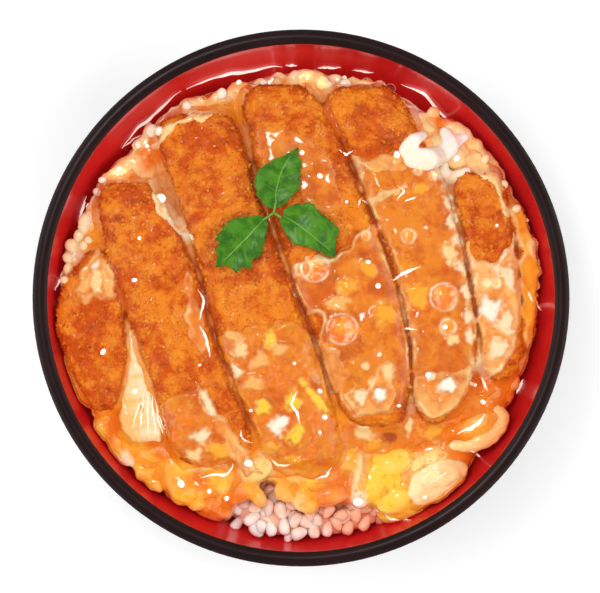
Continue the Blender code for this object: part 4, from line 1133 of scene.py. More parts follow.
# %% The films' outlines
# Outline in mm, tone inside, tone at the edge, cover inside, cover at the edge (0 clear, 1 solid),
# thickness and height of the edge in mm.
FILMS = (
    # slice 5
    (((15.0, 44.5), (21.8, 43.6), (28.8, 44.8), (35.0, 42.9), (40.5, 42.3), (45.1, 36.8), (47.5, 30.1),
      (49.1, 20.9), (50.9, 10.1), (53.1, -0.6), (54.6, -12.9), (53.1, -24.5), (50.0, -31.9), (45.1, -35.6),
      (39.0, -36.8), (34.7, -33.7), (34.4, -26.7), (33.7, -14.4), (31.6, -1.2), (28.5, 9.8), (24.8, 20.2),
      (19.9, 31.3), (16.9, 38.6)), "honey", "cream", 0.28, 0.62, 0.5, 0.6),
    # near half of slice 4
    (((-3.1, 6.7), (-1.5, 11.0), (1.5, 12.9), (5.8, 12.3), (8.9, 13.2), (11.3, 15.6), (14.1, 15.9),
      (16.3, 19.3), (18.4, 21.8), (20.9, 22.7), (23.6, 21.5), (25.5, 17.8), (28.2, 10.1), (31.3, -0.6),
      (33.1, -9.8), (34.0, -19.0), (34.0, -26.7), (31.6, -31.9), (27.3, -35.6), (21.2, -37.4), (15.6, -36.8),
      (12.0, -31.3), (8.9, -25.1), (5.8, -16.6), (4.6, -11.3), (6.4, -7.4), (5.2, -4.0), (2.1, -4.9),
      (0.0, -1.5), (-1.5, 2.5)), "honey", "cream", 0.14, 0.80, 0.6, 0.9),
    # near half of slice 3
    (((-25.6, -12.6), (-22.6, -9.0), (-18.4, -9.8), (-14.0, -7.0), (-9.4, -8.6), (-5.4, -6.2), (-1.6, -8.0),
      (1.5, -9.4), (4.0, -12.9), (6.4, -19.6), (8.9, -26.7), (11.0, -34.4), (12.6, -43.6), (11.8, -51.0),
      (6.4, -55.5), (-0.3, -56.0), (-7.5, -53.5), (-13.0, -47.0), (-15.6, -39.0), (-18.7, -31.9),
      (-21.2, -25.1), (-23.6, -18.6)), "honey", "gold", 0.40, 0.46, 0.7, 0.45),
    # between slices 2 and 3
    (((-35.3, 11.0), (-33.4, 7.1), (-31.9, 0.9), (-29.7, -3.7), (-29.1, -9.8), (-28.5, -15.9), (-29.4, -19.6),
      (-32.2, -16.6), (-34.7, -11.3), (-36.2, -6.1), (-35.6, -2.1), (-34.7, 1.8), (-35.9, 6.1)),
     "orange", "cream", 0.30, 0.55, 0.4, 0.5),
    (((-47.6, 37.0), (-44.6, 38.4), (-42.4, 34.6), (-40.2, 30.0), (-37.4, 25.0), (-34.6, 20.4), (-33.6, 17.2),
      (-35.4, 16.6), (-38.2, 19.6), (-41.4, 23.6), (-44.4, 27.4), (-46.8, 31.6)),
     "cream", "white", 0.8, 0.95, 1.2, 0.5),
    # far end of slice 1
    (((-66.6, 11.0), (-63.2, 14.1), (-60.4, 11.0), (-58.0, 5.5), (-56.7, 0.6), (-60.4, -0.6), (-64.1, -0.0),
      (-66.6, -2.1), (-69.0, -0.6), (-70.8, 2.5), (-69.0, 7.1)), "peach", "cream", 0.30, 0.60, 0.6, 0.5),
    # slice 6
    (((51.2, 16.3), (53.7, 12.6), (56.4, 10.4), (58.6, 9.8), (60.7, 12.6), (63.5, 15.9), (65.9, 17.8),
      (68.4, 11.0), (69.0, 2.5), (68.4, -6.7), (66.6, -14.4), (63.5, -20.5), (59.5, -24.5), (56.1, -25.8),
      (54.3, -21.5), (53.1, -14.4), (53.1, -6.7), (52.4, -0.6), (51.8, 7.1)),
     "peach", "ivory", 0.75, 0.95, 0.9, 0.6),
    (((51.8, 45.4), (54.9, 44.8), (58.6, 41.7), (61.6, 36.8), (63.5, 30.1), (65.3, 25.5), (63.5, 23.9),
      (61.0, 28.5), (59.2, 33.1), (56.1, 36.8), (53.1, 39.3), (50.6, 42.3)),
     "cream", "cream", 0.6, 0.9, 0.8, 0.5),
    # pale fans beside the set white at the far right
    (((14.4, 43.9), (18.7, 42.9), (24.2, 43.9), (28.5, 44.8), (31.0, 48.5), (31.3, 41.7), (34.0, 39.9),
      (31.9, 38.6), (25.8, 37.4), (19.6, 38.6), (16.6, 41.4)), "peach", "cream", 0.42, 0.70, 1.0, 0.5),
    (((19.3, 29.7), (22.7, 32.2), (27.6, 34.7), (31.9, 35.3), (32.8, 33.7), (29.1, 31.0), (24.2, 28.8),
      (20.9, 29.1)), "peach", "cream", 0.35, 0.65, 0.9, 0.5),
    # over the near ends of the slices
    (((-1.5, -12.3), (3.4, -11.3), (8.9, -14.4), (13.5, -19.0), (15.6, -24.5), (13.5, -28.8), (8.9, -30.7),
      (5.2, -26.7), (1.5, -22.7), (-1.5, -17.5)), "peach", "cream", 0.26, 0.35, 0.7, 0.3),
    (((13.5, -29.7), (15.6, -25.8), (19.9, -26.7), (23.0, -22.1), (26.1, -18.4), (28.5, -19.6), (27.9, -26.7),
      (29.1, -29.7), (26.7, -35.0), (21.8, -37.4), (16.9, -35.9)), "peach", "cream", 0.42, 0.9, 1.0, 0.9),
    (((32.8, -24.5), (36.5, -22.7), (42.6, -22.7), (48.2, -20.9), (51.8, -19.6), (53.1, -24.5), (50.6, -30.7),
      (45.7, -35.9), (40.2, -37.4), (35.3, -35.0), (32.8, -29.7)), "peach", "cream", 0.46, 0.9, 1.1, 0.8),
    (((-43.2, -33.7), (-39.6, -30.1), (-35.3, -28.2), (-31.6, -27.6), (-29.1, -31.3), (-26.7, -35.9),
      (-23.0, -40.5), (-19.9, -46.0), (-18.7, -50.3), (-23.3, -52.8), (-29.4, -52.1), (-34.7, -50.3),
      (-39.6, -46.6), (-42.6, -40.5)), "honey", "honey", 0.34, 0.36, 0.8, 0.35),
    # the pale run between the near ends of slices 2 and 3
    (((-32.6, -25.6), (-29.0, -27.4), (-26.2, -32.6), (-22.4, -39.0), (-18.6, -44.4), (-13.8, -50.0),
      (-12.0, -54.0), (-16.6, -54.8), (-20.8, -50.4), (-24.2, -44.4), (-28.0, -37.0), (-31.8, -30.6)),
     "peach", "cream", 0.6, 0.8, 1.2, 0.5),
    # the layer before the near ends of slices 4 and 5
    (((12.0, -38.4), (20.0, -38.6), (27.0, -39.0), (34.0, -37.0), (41.0, -38.4), (48.0, -36.6),
      (54.0, -30.4), (58.0, -26.6), (60.5, -29.0), (56.0, -33.4), (49.0, -38.6), (42.0, -44.6),
      (34.0, -47.0), (26.0, -48.0), (18.0, -47.4), (12.0, -45.4)), "honey", "orange", 0.85, 0.9, 0.4, 0.3),
    # slice 7, all but a little of it, and the far edge of slice 3
    (((65.4, 29.5), (68.5, 27.5), (72.4, 20.0), (75.2, 10.0), (75.6, 0.0), (74.9, -8.0), (73.4, -15.4),
      (71.0, -21.0), (67.6, -23.6), (68.4, -18.0), (68.6, -12.4), (67.6, -4.0), (67.2, 8.0), (66.4, 18.0)),
     "gold", "cream", 0.75, 0.9, 0.9, 0.7),
    (((-45.8, 47.0), (-42.2, 52.0), (-38.6, 55.4), (-33.0, 57.0), (-26.8, 57.6), (-26.4, 55.4), (-33.0, 54.8),
      (-38.0, 52.8), (-41.0, 49.6), (-43.6, 46.0)), "cream", "cream", 0.7, 0.9, 0.8, 0.4),
    # dark pools in low places at the near right: painted shade
    (((23.6, -41.2), (27.4, -40.0), (31.6, -41.4), (31.0, -44.4), (27.0, -46.2), (23.4, -44.6)),
     "sauce", "orange", 0.85, 0.85, 0.2, 0.1),
    (((38.6, -37.2), (42.0, -38.6), (45.6, -37.8), (44.8, -39.6), (41.0, -40.8), (38.4, -39.6)),
     "sauce", "orange", 0.8, 0.8, 0.2, 0.1),
    # thin sauce on slice 4
    (((-16.3, 50.0), (-12.0, 52.1), (-4.9, 52.1), (1.2, 50.0), (6.4, 45.4), (10.4, 37.7), (13.5, 30.1),
      (11.3, 26.4), (5.8, 25.5), (-0.3, 30.1), (-4.9, 36.2), (-12.0, 40.8), (-15.6, 43.9)),
     "honey", "peach", 0.12, 0.30, 0.3, 0.1),
)

# %% Marks on the films
# Curds and streaks in the films: x, y, length and width in mm, degrees turned from +X, rise in mm, tone.
# The milk marks on slices 1, 3, 4 and 5 are painted highlights, set where glints fall.
FILM_MARKS = (
    # lobes of white down the right edge of slice 5
    (42.6, 38.4, 6.4, 5.0, 10, 1.6, "ivory"), (46.0, 35.0, 6.0, 5.6, 30, 1.8, "ivory"),
    (46.4, 29.6, 5.6, 6.4, 0, 2.0, "ivory"), (47.0, 23.4, 5.2, 5.6, 0, 1.8, "ivory"),
    (48.2, 18.0, 4.6, 5.6, 0, 1.6, "ivory"), (45.8, 13.4, 8.0, 5.4, -60, 1.4, "cream"),
    (49.4, 9.4, 4.4, 6.4, 10, 1.6, "ivory"), (50.8, 2.0, 4.2, 6.8, 0, 1.6, "ivory"),
    (51.2, -5.4, 4.2, 5.4, 0, 1.6, "ivory"), (51.6, -11.6, 4.0, 5.0, 0, 1.4, "ivory"),
    (46.6, -12.6, 5.0, 4.0, 0, 1.2, "cream"), (44.6, -27.2, 7.4, 5.4, 20, 2.2, "milk"),
    (40.0, -24.2, 4.4, 3.0, 50, 1.4, "ivory"), (37.0, 33.6, 8.0, 4.0, 20, 1.0, "gold"),
    # slice 4
    (23.8, -29.8, 4.6, 6.0, 0, 2.2, "milk"), (18.0, -30.0, 5.4, 4.6, 30, 1.6, "ivory"),
    (26.6, -22.6, 4.4, 6.4, 0, 1.4, "cream"), (20.0, -21.0, 3.6, 3.0, 0, 1.2, "cream"),
    (14.0, 3.4, 9.0, 6.0, 20, 0.8, "gold"), (20.6, 8.8, 7.0, 5.0, -30, 0.8, "gold"),
    (11.0, -1.0, 8.0, 6.0, 20, 0.8, "peach"), (25.6, -4.4, 7.0, 9.0, 0, 0.8, "gold"),
    # slice 3: pale above, deep yellow in the middle, orange beside it
    (-18.6, -15.6, 6.0, 7.4, 0, 1.4, "cream"), (-12.6, -19.4, 6.4, 5.6, 0, 1.3, "peach"),
    (-20.0, -22.6, 4.6, 6.0, 20, 1.4, "ivory"), (-14.0, -26.4, 7.6, 5.4, 0, 1.2, "peach"),
    (-8.6, -26.6, 5.0, 4.0, 0, 1.0, "orange"), (2.0, -20.0, 5.0, 6.0, 0, 1.0, "honey"),
    (-9.4, -12.6, 4.6, 6.0, 0, 1.6, "yellow"), (-6.6, -26.0, 7.0, 8.0, 0, 1.2, "orange"),
    (-11.6, -33.4, 6.0, 6.0, 0, 1.4, "yellow"), (-2.2, -31.6, 5.0, 8.0, 0, 1.5, "yellow"),
    (-1.6, -41.6, 8.0, 7.0, 10, 1.6, "yellow"), (-9.6, -45.6, 7.0, 5.0, 0, 1.6, "gold"),
    (-4.0, -49.8, 10.0, 4.0, 0, 1.4, "gold"), (4.6, -38.0, 4.0, 9.0, 10, 1.2, "orange"),
    (-15.0, -40.0, 4.0, 7.0, 10, 1.0, "orange"), (-8.0, -22.6, 4.0, 5.0, 0, 1.0, "orange"),
    (3.6, -46.6, 5.0, 6.0, 0, 1.0, "orange"), (0.6, -24.6, 4.0, 6.0, 0, 1.0, "orange"),
    (-6.4, -38.8, 7.0, 6.0, 20, 2.0, "milk"), (7.6, -46.0, 7.0, 8.0, 0, 1.0, "honey"),
    (-20.4, -11.6, 6.0, 4.0, -20, 1.0, "peach"), (-3.4, -16.6, 6.0, 6.0, 0, 1.0, "honey"),
    (4.6, -30.6, 17.0, 3.2, -48, 1.4, "yellow"), (-7.0, -16.0, 5.0, 5.0, 0, 1.2, "peach"),
    # near end of slice 2
    (-30.4, -42.4, 8.0, 5.0, 10, 1.6, "ivory"), (-34.8, -37.4, 8.0, 6.0, 0, 1.2, "orange"),
    (-25.0, -46.8, 8.0, 6.0, 0, 1.4, "gold"), (-38.8, -42.8, 6.0, 5.0, 0, 1.2, "orange"),
    (-14.6, -51.6, 6.0, 5.0, -30, 1.6, "cream"), (-32.6, -48.6, 7.0, 5.0, 0, 1.4, "cream"),
    (-28.4, -32.4, 3.0, 9.0, 25, 1.0, "ivory"),
    # before the near ends of slices 4 and 5
    (33.2, -39.4, 2.6, 8.0, -6, 1.6, "cream"), (19.6, -41.6, 9.0, 5.0, -20, 1.6, "cream"),
    (40.6, -41.6, 9.0, 5.4, 10, 1.6, "gold"), (47.8, -37.8, 8.0, 3.6, 20, 1.2, "orange"),
    # The two sauce marks here are painted shade in low pockets.
    (27.3, -43.0, 7.4, 3.8, 8, 0.4, "sauce"), (41.4, -37.8, 6.6, 2.4, 10, 0.3, "sauce"),
    (35.8, -44.0, 6.0, 4.0, 10, 1.4, "orange"), (22.0, -45.6, 7.0, 4.0, 20, 1.2, "gold"),
    # slice 6
    (58.4, -3.4, 8.4, 9.0, 50, 1.8, "milk"), (57.0, 4.6, 8.0, 6.0, 0, 1.0, "peach"),
    (63.4, -8.0, 5.4, 9.0, 0, 1.6, "ivory"), (60.4, -15.6, 7.0, 7.0, 0, 1.6, "ivory"),
    (64.6, 6.0, 4.6, 9.0, 0, 1.2, "ivory"), (55.2, -10.0, 3.8, 7.0, 0, 1.2, "peach"),
    (62.0, 13.6, 4.0, 5.0, 0, 1.2, "ivory"),
    # slice 1
    (-63.4, 10.0, 2.6, 4.6, -30, 1.2, "milk"), (-59.8, 4.4, 8.0, 3.4, -62, 0.8, "peach"),
    (-66.0, 4.4, 8.0, 3.6, 58, 0.8, "peach"), (-62.9, 4.4, 8.0, 3.6, 88, 0.8, "cream"),
    # along slice 2, and on slice 5
    (-40.0, 27.0, 4.0, 11.0, 28, 1.2, "ivory"), (36.0, 0.6, 9.0, 10.0, 0, 0.8, "gold"),
)

# %% Where bubbles stand
# x, y and radius in mm.
BUBBLES = (
    (0.6, 8.9, 2.4), (4.3, 9.2, 4.2), (12.6, -9.5, 4.6), (43.9, 0.3, 4.2), (22.4, 21.2, 1.6),
    (19.9, 19.0, 1.3), (57.0, 4.6, 1.2), (60.1, 4.6, 1.4), (61.6, 8.0, 1.2), (38.6, 47.8, 2.2),
    (33.1, 19.0, 2.2), (45.1, -8.9, 2.4), (40.5, 37.5, 1.3), (36.0, 39.0, 1.1), (-56.5, 37.5, 3.4),
    (2.4, 67.4, 3.2), (6.8, 66.6, 2.0), (20.4, 66.4, 2.0), (27.6, 64.6, 1.8), (-30.6, 61.0, 1.8),
)

# %% How far a point lies inside an outline
def inside_depth(x, y, outline):
    """How far each point lies inside a closed outline, and below zero outside it."""
    depth = np.full(len(x), 1e9)
    inside = np.zeros(len(x), bool)
    for (ax, ay), (bx, by) in zip(outline, outline[1:] + outline[:1]):
        dx, dy = bx - ax, by - ay
        share = np.clip(((x - ax) * dx + (y - ay) * dy) / (dx * dx + dy * dy), 0, 1)
        depth = np.minimum(depth, np.hypot(x - ax - share * dx, y - ay - share * dy))
        if dy:
            inside ^= ((ay > y) != (by > y)) & (x < ax + (y - ay) * dx / dy)
    return np.where(inside, depth, -depth)


# %% Thickness, cover and colour of the films
def scallops(points, size):
    """Round lobes of about this size, from 0.5 in the middle of a lobe to about -0.5 between them."""
    return np.array([0.5 - noise.voronoi(Vector(point) / size)[0][0] for point in points])


def lay_films(x, y, flat, beaded):
    """Thickness in mm, cover and colour of the films at each point."""
    ragged = 1.0 * ripple(flat, 6, 4) + 0.15 * ripple(flat, 1.9, 5) + 2.6 * scallops(flat, 4.6)
    set_edge = np.clip(0.75 + 1.3 * ripple(flat, 9, 9), 0.1, 1.4)
    clouds = ripple(flat, 7, 7) + 0.6 * ripple(flat, 2.6, 8)
    thickness = np.full(len(x), -1.0)
    cover = np.zeros(len(x))
    colour = np.tile(np.array(TONES["honey"]), (len(x), 1))
    for outline, inner, edge, clear, dense, thick, edge_height in FILMS:
        depth = inside_depth(x, y, outline) + ragged
        rim = set_edge * np.exp(-(((depth - 0.9) / 0.9) ** 2)) * np.clip(0.7 + 1.1 * beaded, 0, 1.5)
        here = np.where(depth > 0, thick * soft_step(depth, 0, 1.2) + edge_height * rim, -1)
        share = np.clip(rim, 0, 1)
        milky = np.clip(clear * (1 + 0.9 * clouds) + 0.12, 0, 1)
        wins = here > thickness
        cover = np.where(wins, milky + (dense - milky) * share, cover)
        mixed = np.tile(np.array(TONES[inner]), (len(x), 1))
        if inner in ("gold", "honey", "peach"):
            mixed = toned(mixed, 0.25 * soft_step(clouds, 0.15, 0.8), "yellow")
            mixed = toned(mixed, 0.6 * soft_step(-clouds, 0.15, 0.8), "orange")
        mixed = toned(mixed, share, edge)
        colour = np.where(wins[:, None], mixed, colour)
        thickness = np.maximum(thickness, here)
    return thickness, cover, colour


# %% Small curds and rings of bubbles in the films
MARK_RISE = 0.75


def add_marks(x, y, flat, thickness, cover, colour):
    """Raises the small curds in the films, each with a ring of painted shade round its foot. Returns the new
    colour.
    """
    uneven = 0.55 * ripple(flat, 3.4, 12) + 0.35 * ripple(flat, 1.4, 13)
    for mark in (dict(zip(KEYS, values)) for values in FILM_MARKS):
        turn = math.radians(mark["turn"])
        way_x, way_y = x - mark["x"], y - mark["y"]
        along = (way_x * math.cos(turn) + way_y * math.sin(turn)) / (0.5 * mark["long"])
        across = (way_y * math.cos(turn) - way_x * math.sin(turn)) / (0.5 * mark["wide"])
        near = 1.10 - np.hypot(along, across) + uneven
        share = soft_step(near, 0, 0.60) * (thickness > 0)
        # A ring of painted shade just outside each curd's edge.
        colour = toned(colour, 0.5 * np.exp(-(((near + 0.12) / 0.16) ** 2)), "orange")
        thickness += share * mark["rise"] * MARK_RISE
        cover += share * (np.clip(cover + 0.6, 0, 1) - cover)
        colour = toned(colour, share, mark["tone"])
    return colour


RING_WIDTH = 0.42
RING_HEIGHT = 0.45


def add_bubble_rings(x, y, beaded, thickness, cover, colour):
    """Raises a ring of set egg round each bubble. Returns the new colour."""
    for bubble_x, bubble_y, radius in BUBBLES:
        away = np.hypot(x - bubble_x, y - bubble_y) - radius
        ring = np.exp(-((away / RING_WIDTH) ** 2)) * np.clip(0.75 + 0.9 * beaded, 0.1, 1) * (thickness > 0)
        thickness += RING_HEIGHT * ring
        cover += ring * (0.85 - cover)
        colour = toned(colour, 0.75 * ring, "white")
    return colour


# %% Evening out heights on a grid
def blurred_grid(grid, rounds):
    for _ in range(rounds):
        for axis in (0, 1):
            grid = (np.roll(grid, 1, axis) + 2 * grid + np.roll(grid, -1, axis)) / 4
    return grid


def stretched_over(ground, rounds):
    """A sheet that touches the high places of the ground and rounds off the corners between them."""
    sheet = ground
    for _ in range(rounds):
        sheet = np.maximum(ground, blurred_grid(sheet, 1))
    return sheet


# %% Drape the grid over the food
# The grid's cells, its size in mm, and how often each measured height is evened out.
FILM_CELLS = (384, 338)
FILM_SIZE = (152, 134)
FOOD_ROUNDS = 5
DRAPE_ROUNDS = 32
CORNER_ROUNDS = 3
FLOW_ROUNDS = 8
CUTLET_ROUNDS = 11

bpy.ops.mesh.primitive_grid_add(x_subdivisions=FILM_CELLS[0], y_subdivisions=FILM_CELLS[1], size=2)
film = added("egg_film")
sheet = coordinates(film.data) * np.array([FILM_SIZE[0] / 2, FILM_SIZE[1] / 2, 0])
columns = len(np.unique(np.round(sheet[:, 0], 4)))
slice_tops, egg_top = surface_of(slices), surface_of([egg, *curds])
on_slice = np.array([top_at(slice_tops, x * MM, y * MM, 0) for x, y, _ in sheet])
on_egg = np.array([top_at(egg_top, x * MM, y * MM, 0) for x, y, _ in sheet])
wall = wall_height(np.hypot(sheet[:, 0], sheet[:, 1]) * MM)
# The ground is what the film lies on. Draped, it is rounded in its corners, and flowing, it is smooth.
ground = np.maximum(np.maximum(on_slice, on_egg), wall)
food = (np.maximum(on_slice, on_egg) > wall).astype(float).reshape(-1, columns)
on_food = blurred_grid(food, FOOD_ROUNDS).ravel() > 0.85
draped = stretched_over(ground.reshape(-1, columns), DRAPE_ROUNDS).ravel()
filled = blurred_grid((draped - ground).reshape(-1, columns) / MM, CORNER_ROUNDS).ravel()
flowing = blurred_grid(draped.reshape(-1, columns), FLOW_ROUNDS).ravel()
flowing = np.maximum(flowing, ground - 0.15 * MM)
cutlet = blurred_grid((on_slice > on_egg).astype(float).reshape(-1, columns), CUTLET_ROUNDS).ravel()
print("grid:", len(sheet), "points,", int(on_food.sum()), "of them on food")

# %% Colour what fills the corners
# Painted shade in the seam between two slices: dark red at its sides and darker in its depth.
SEAM_SIDE_SHADE = np.array((0.62, 0.110, 0.007))
SEAM_DEEP_SHADE = np.array((0.30, 0.032, 0.003))
CREASE_WIDTH = 0.10

flat_x, flat_y = sheet[:, 0], sheet[:, 1]
flat = np.stack([flat_x, flat_y, np.zeros(len(sheet))], axis=1)
beaded = ripple(flat, 2.6, 6)
thickness, cover, colour = lay_films(flat_x, flat_y, flat, beaded)
colour = add_marks(flat_x, flat_y, flat, thickness, cover, colour)
colour = add_bubble_rings(flat_x, flat_y, beaded, thickness, cover, colour)
laid = thickness > 0
egg_tone = tones_at(sheet, lumps, 1.0)
seam_share = soft_step(cutlet, 0.35, 0.75)
deep = (soft_step(filled, 3.6, 5.4) * seam_share)[:, None]
seam_shade_colour = SEAM_SIDE_SHADE + deep * (SEAM_DEEP_SHADE - SEAM_SIDE_SHADE)
corner_colour = 0.7 * egg_tone + 0.3 * np.array(TONES["honey"])
# Sauce lies in thin creases between the curds.
broad_creases = np.exp(-((ripple(sheet, 5.5, 21) / CREASE_WIDTH) ** 2))
fine_creases = np.exp(-((ripple(sheet, 2.4, 22) / CREASE_WIDTH) ** 2))
creases = broad_creases + 0.6 * fine_creases
corner_colour = toned(corner_colour, 0.55 * np.clip(creases, 0, 1), "orange")
corner_colour += seam_share[:, None] * (seam_shade_colour - corner_colour)
# A film that lies over a deep seam is darkened towards the seam's painted shade as well.
colour = np.where(laid[:, None], colour + 0.85 * deep * (SEAM_DEEP_SHADE - colour), corner_colour)
print("points under a film:", int(laid.sum()))

# %% Raise the sheet and cut it out
sunk_share = deep[:, 0]
cover = np.where(laid, np.clip(cover + 0.5 * np.clip(filled - 0.4, 0, 1), 0, 1), 1)
cover = np.maximum(cover, sunk_share)
rise = np.where(laid, thickness * (1 - sunk_share) - 0.5 * sunk_share, -0.12 - 0.50 * seam_share)
base = np.where(laid, flowing + sunk_share * (draped - flowing), draped)
kept = (laid | (filled > 0.25)) & on_food
sheet *= MM
sheet[:, 2] = np.where(kept, base + rise * MM, ground - 0.6 * MM)
move_points(film.data, sheet)
store(film, "tone", colour, "COLOR")
store(film, "cover", cover)
store(film, "seam", np.where(laid, sunk_share, np.maximum(seam_share, 0.75)))
bare = [not any(kept[index] for index in face.vertices) for face in film.data.polygons]
select_faces(film, bare)
bpy.ops.mesh.delete(type="FACE")
bpy.ops.object.mode_set(mode="OBJECT")
use_modifier(film, "SMOOTH", factor=0.4, iterations=1)
keep_off_wall(film, 0.2 * MM)
film.data.shade_smooth()
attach(film, "root")
print("film:", triangles(film), "triangles")

# %% Film material
film_finish, film_shader, place = new_finish(
    "egg_film", Subsurface_Weight=0.15, Subsurface_Scale=1.0 * MM, Subsurface_Radius=(1.0, 0.60, 0.30),
    Specular_IOR_Level=0.2, Coat_Weight=1.0, Coat_Roughness=0.04, Coat_IOR=1.55)
tone = place.stored("tone", 0)
cover = place.stored("cover")
wisps = place.noise(2.6 * MM, 4.0, 0.65, 1.0)
clouded = (cover + wisps * 0.7 - 0.35).smooth(0.0, 1.0)
seen_through = (clouded * 0.80 + 0.12).blend(crust_pattern(place)[0], tone)
seam = place.stored("seam")
whitish = (wisps.smooth(0.54, 0.72) * 0.12 + veins_of_white(place) * 0.10) * cover * (1 - seam)
feed(film_shader,
     Base_Color=whitish.blend(seen_through, TONES["straw"]),
     Roughness=place.noise(3 * MM) * 0.2 + 0.14,
     Normal=bump(place.noise(3.2 * MM, 2.0), 0.3 * MM, 0.25))
film.data.materials.append(film_finish)

# %% [markdown]
# ## Beads, threads and highlight lines
# Small white beads and threads on the food, and white lines on the lacquer, are set where glints fall:
# they are painted highlights, and their white glows a little. Only the fibres at the near end of the strip
# are set egg white itself. A bead is a pressed ball. A thread is a curve with a
# round section that thins out at its ends, made into a mesh and laid on whatever is below it.

# %% Beads of white where glints fall, as painted highlights
# x, y and radius in mm.
HIGHLIGHT_BEADS = (
    (-43.2, 30.7, 1.5), (-49.7, 18.4, 0.6), (-51.2, 5.5, 0.8), (0.3, 44.5, 0.8), (5.8, 37.4, 0.9),
    (20.5, 11.0, 0.7), (23.6, 3.7, 0.9), (44.2, -8.9, 0.8), (29.4, 43.9, 1.1), (48.2, 43.2, 0.9),
    (60.4, 22.4, 0.5), (56.4, -32.2, 0.8), (17.5, -62.9, 1.3), (-47.8, 47.2, 0.8), (-56.4, 39.9, 0.8),
    (-19.3, 66.9, 0.8), (-67.2, 23.3, 1.5), (5.8, -28.5, 0.8), (23.6, -28.5, 0.9), (-37.1, -57.4, 1.3),
    (-61.0, -16.6, 0.9), (-51.2, -28.8, 0.8), (7.3, -36.5, 0.9), (5.8, -41.1, 0.6), (-15.3, -34.5, 0.6),
    (-16.2, -50.8, 1.1), (-23.0, -62.0, 0.8), (-28.4, -59.8, 0.7), (-31.1, -20.5, 0.5), (38.3, -61.6, 0.7),
    (6.4, 70.3, 0.8), (-9.5, 67.0, 0.7), (4.3, 71.4, 0.6), (13.5, 68.6, 0.9), (11.4, 67.8, 0.6),
    (28.5, 66.5, 0.6), (33.0, 62.0, 0.6), (34.7, 61.0, 0.5), (-8.9, 67.7, 0.6), (-67.0, 29.0, 0.7),
    (54.0, -27.0, 0.6), (39.0, -23.6, 1.0), (14.0, 29.5, 0.5), (-2.0, -20.0, 0.5), (30.0, -33.0, 0.6),
)
DROP_SEED = 17
HALF_TURN = 3.1

support = surface_of([bowl, heap, egg, film, *slices, *curds])
bpy.ops.mesh.primitive_ico_sphere_add(subdivisions=3, radius=1)
drop_points, drop_faces = taken_apart(added("drop"))
draw = random.Random(DROP_SEED)


def bead_shape(bead):
    x, y, radius = bead
    size = np.array([radius * draw.uniform(0.9, 1.2), radius * draw.uniform(0.8, 1.0), radius * 0.62])
    turn = np.array(Matrix.Rotation(draw.uniform(0, HALF_TURN), 3, "Z"))
    middle = np.array([x * MM, y * MM, top_at(support, x * MM, y * MM, RIM_HEIGHT) + 0.25 * radius * MM])
    return (drop_points * size * MM) @ turn.T + middle


# Larger pearls of set egg stand in a row along the left wall, and a few lie at the far and right ones.
PEARLS = (
    (-67.2, 24.0, 2.3), (-67.6, 21.8, 2.0), (-71.3, 16.3, 2.3), (-69.0, 19.3, 1.9), (-67.4, 16.2, 1.5),
    (-66.0, 17.9, 1.5), (-72.2, 12.2, 1.8), (-70.2, 11.9, 0.9), (-72.2, 8.9, 1.9), (-73.0, 5.6, 1.3),
    (-46.2, 51.8, 2.2), (-43.6, 51.4, 1.7), (-63.4, 33.0, 1.4), (-61.6, 36.6, 1.2), (-50.6, 47.6, 1.3),
    (-35.4, 59.4, 1.7), (-24.6, 63.4, 1.6), (-11.6, 66.2, 1.4), (13.8, 66.4, 1.7), (57.0, 43.0, 1.5),
    (62.6, 35.0, 1.6), (66.6, 27.6, 1.5),
)


beads = scattered("highlight_beads", HIGHLIGHT_BEADS, bead_shape, drop_faces)
pearls = scattered("egg_pearls", PEARLS, bead_shape, drop_faces)
for piece in (beads, pearls):
    keep_off_wall(piece, -0.2 * MM)
print("beads:", len(HIGHLIGHT_BEADS), "and pearls:", len(PEARLS))

# %% Threads and highlight lines
# Each is a path of x, y in mm, after its thickness in mm.
# All but the last six threads are white strokes set where glints fall, painted highlights; the last six are
# fibres of egg white.
THREADS = (
    # between the second and third slices, and over the near ends
    (0.7, (-31.9, 2.5), (-30.1, -0.3), (-30.7, -3.7), (-31.3, -6.7)),
    (0.9, (-31.3, -8.9), (-29.4, -12.3), (-28.2, -18.4)),
    (0.6, (-18.7, -40.8), (-18.4, -43.2), (-15.0, -45.1)),
    (0.8, (-10.4, -48.5), (-7.1, -52.1), (-3.4, -51.5), (-0.3, -48.8)),
    (0.8, (-31.3, -55.8), (-27.0, -54.6), (-23.6, -55.2), (-21.2, -52.8), (-20.9, -50.0)),
    (0.8, (-1.2, -28.8), (-3.1, -32.8), (-1.2, -35.3), (-0.3, -39.0)),
    (0.6, (4.6, -56.0), (8.0, -55.0), (10.0, -51.6)),
    # on the fourth and fifth slices
    (0.9, (28.2, 5.2), (31.9, 7.7), (36.8, 9.8)), (0.5, (29.7, 34.7), (31.9, 33.1), (29.4, 30.1)),
    (0.5, (31.9, 29.7), (35.6, 31.3)), (0.5, (31.0, -9.2), (35.6, -9.8)),
    (0.6, (16.3, 45.6), (13.9, 44.2), (11.4, 46.0)), (0.5, (20.6, 29.2), (18.4, 30.6), (17.6, 28.0)),
    # on the right, and round the curds
    (1.1, (48.6, -42.6), (50.6, -41.2), (53.0, -40.6), (55.4, -38.8), (57.4, -36.0)),
    (0.5, (70.5, 2.0), (72.0, -1.4)), (0.7, (56.2, -24.6), (58.0, -29.0)),
    (0.5, (52.4, -47.2), (55.0, -48.4)),
    (0.6, (17.8, -66.2), (20.4, -65.8), (24.8, -66.6)), (0.5, (7.6, -68.8), (6.2, -65.6), (9.2, -63.4)),
    # fibres at the near end of the strip
    (0.4, (-48.5, -29.4), (-49.4, -35.6), (-49.7, -41.1)),
    (0.4, (-47.2, -28.8), (-47.5, -35.0), (-47.2, -41.7)),
    (0.4, (-46.0, -29.7), (-45.7, -36.2), (-44.8, -42.3)),
    (0.4, (-45.1, -31.0), (-44.2, -37.4), (-42.3, -43.6)),
    (0.3, (-49.7, -31.9), (-51.2, -36.8), (-52.1, -40.5)),
    (0.3, (-44.5, -33.7), (-43.2, -38.3), (-41.4, -42.0)),
)
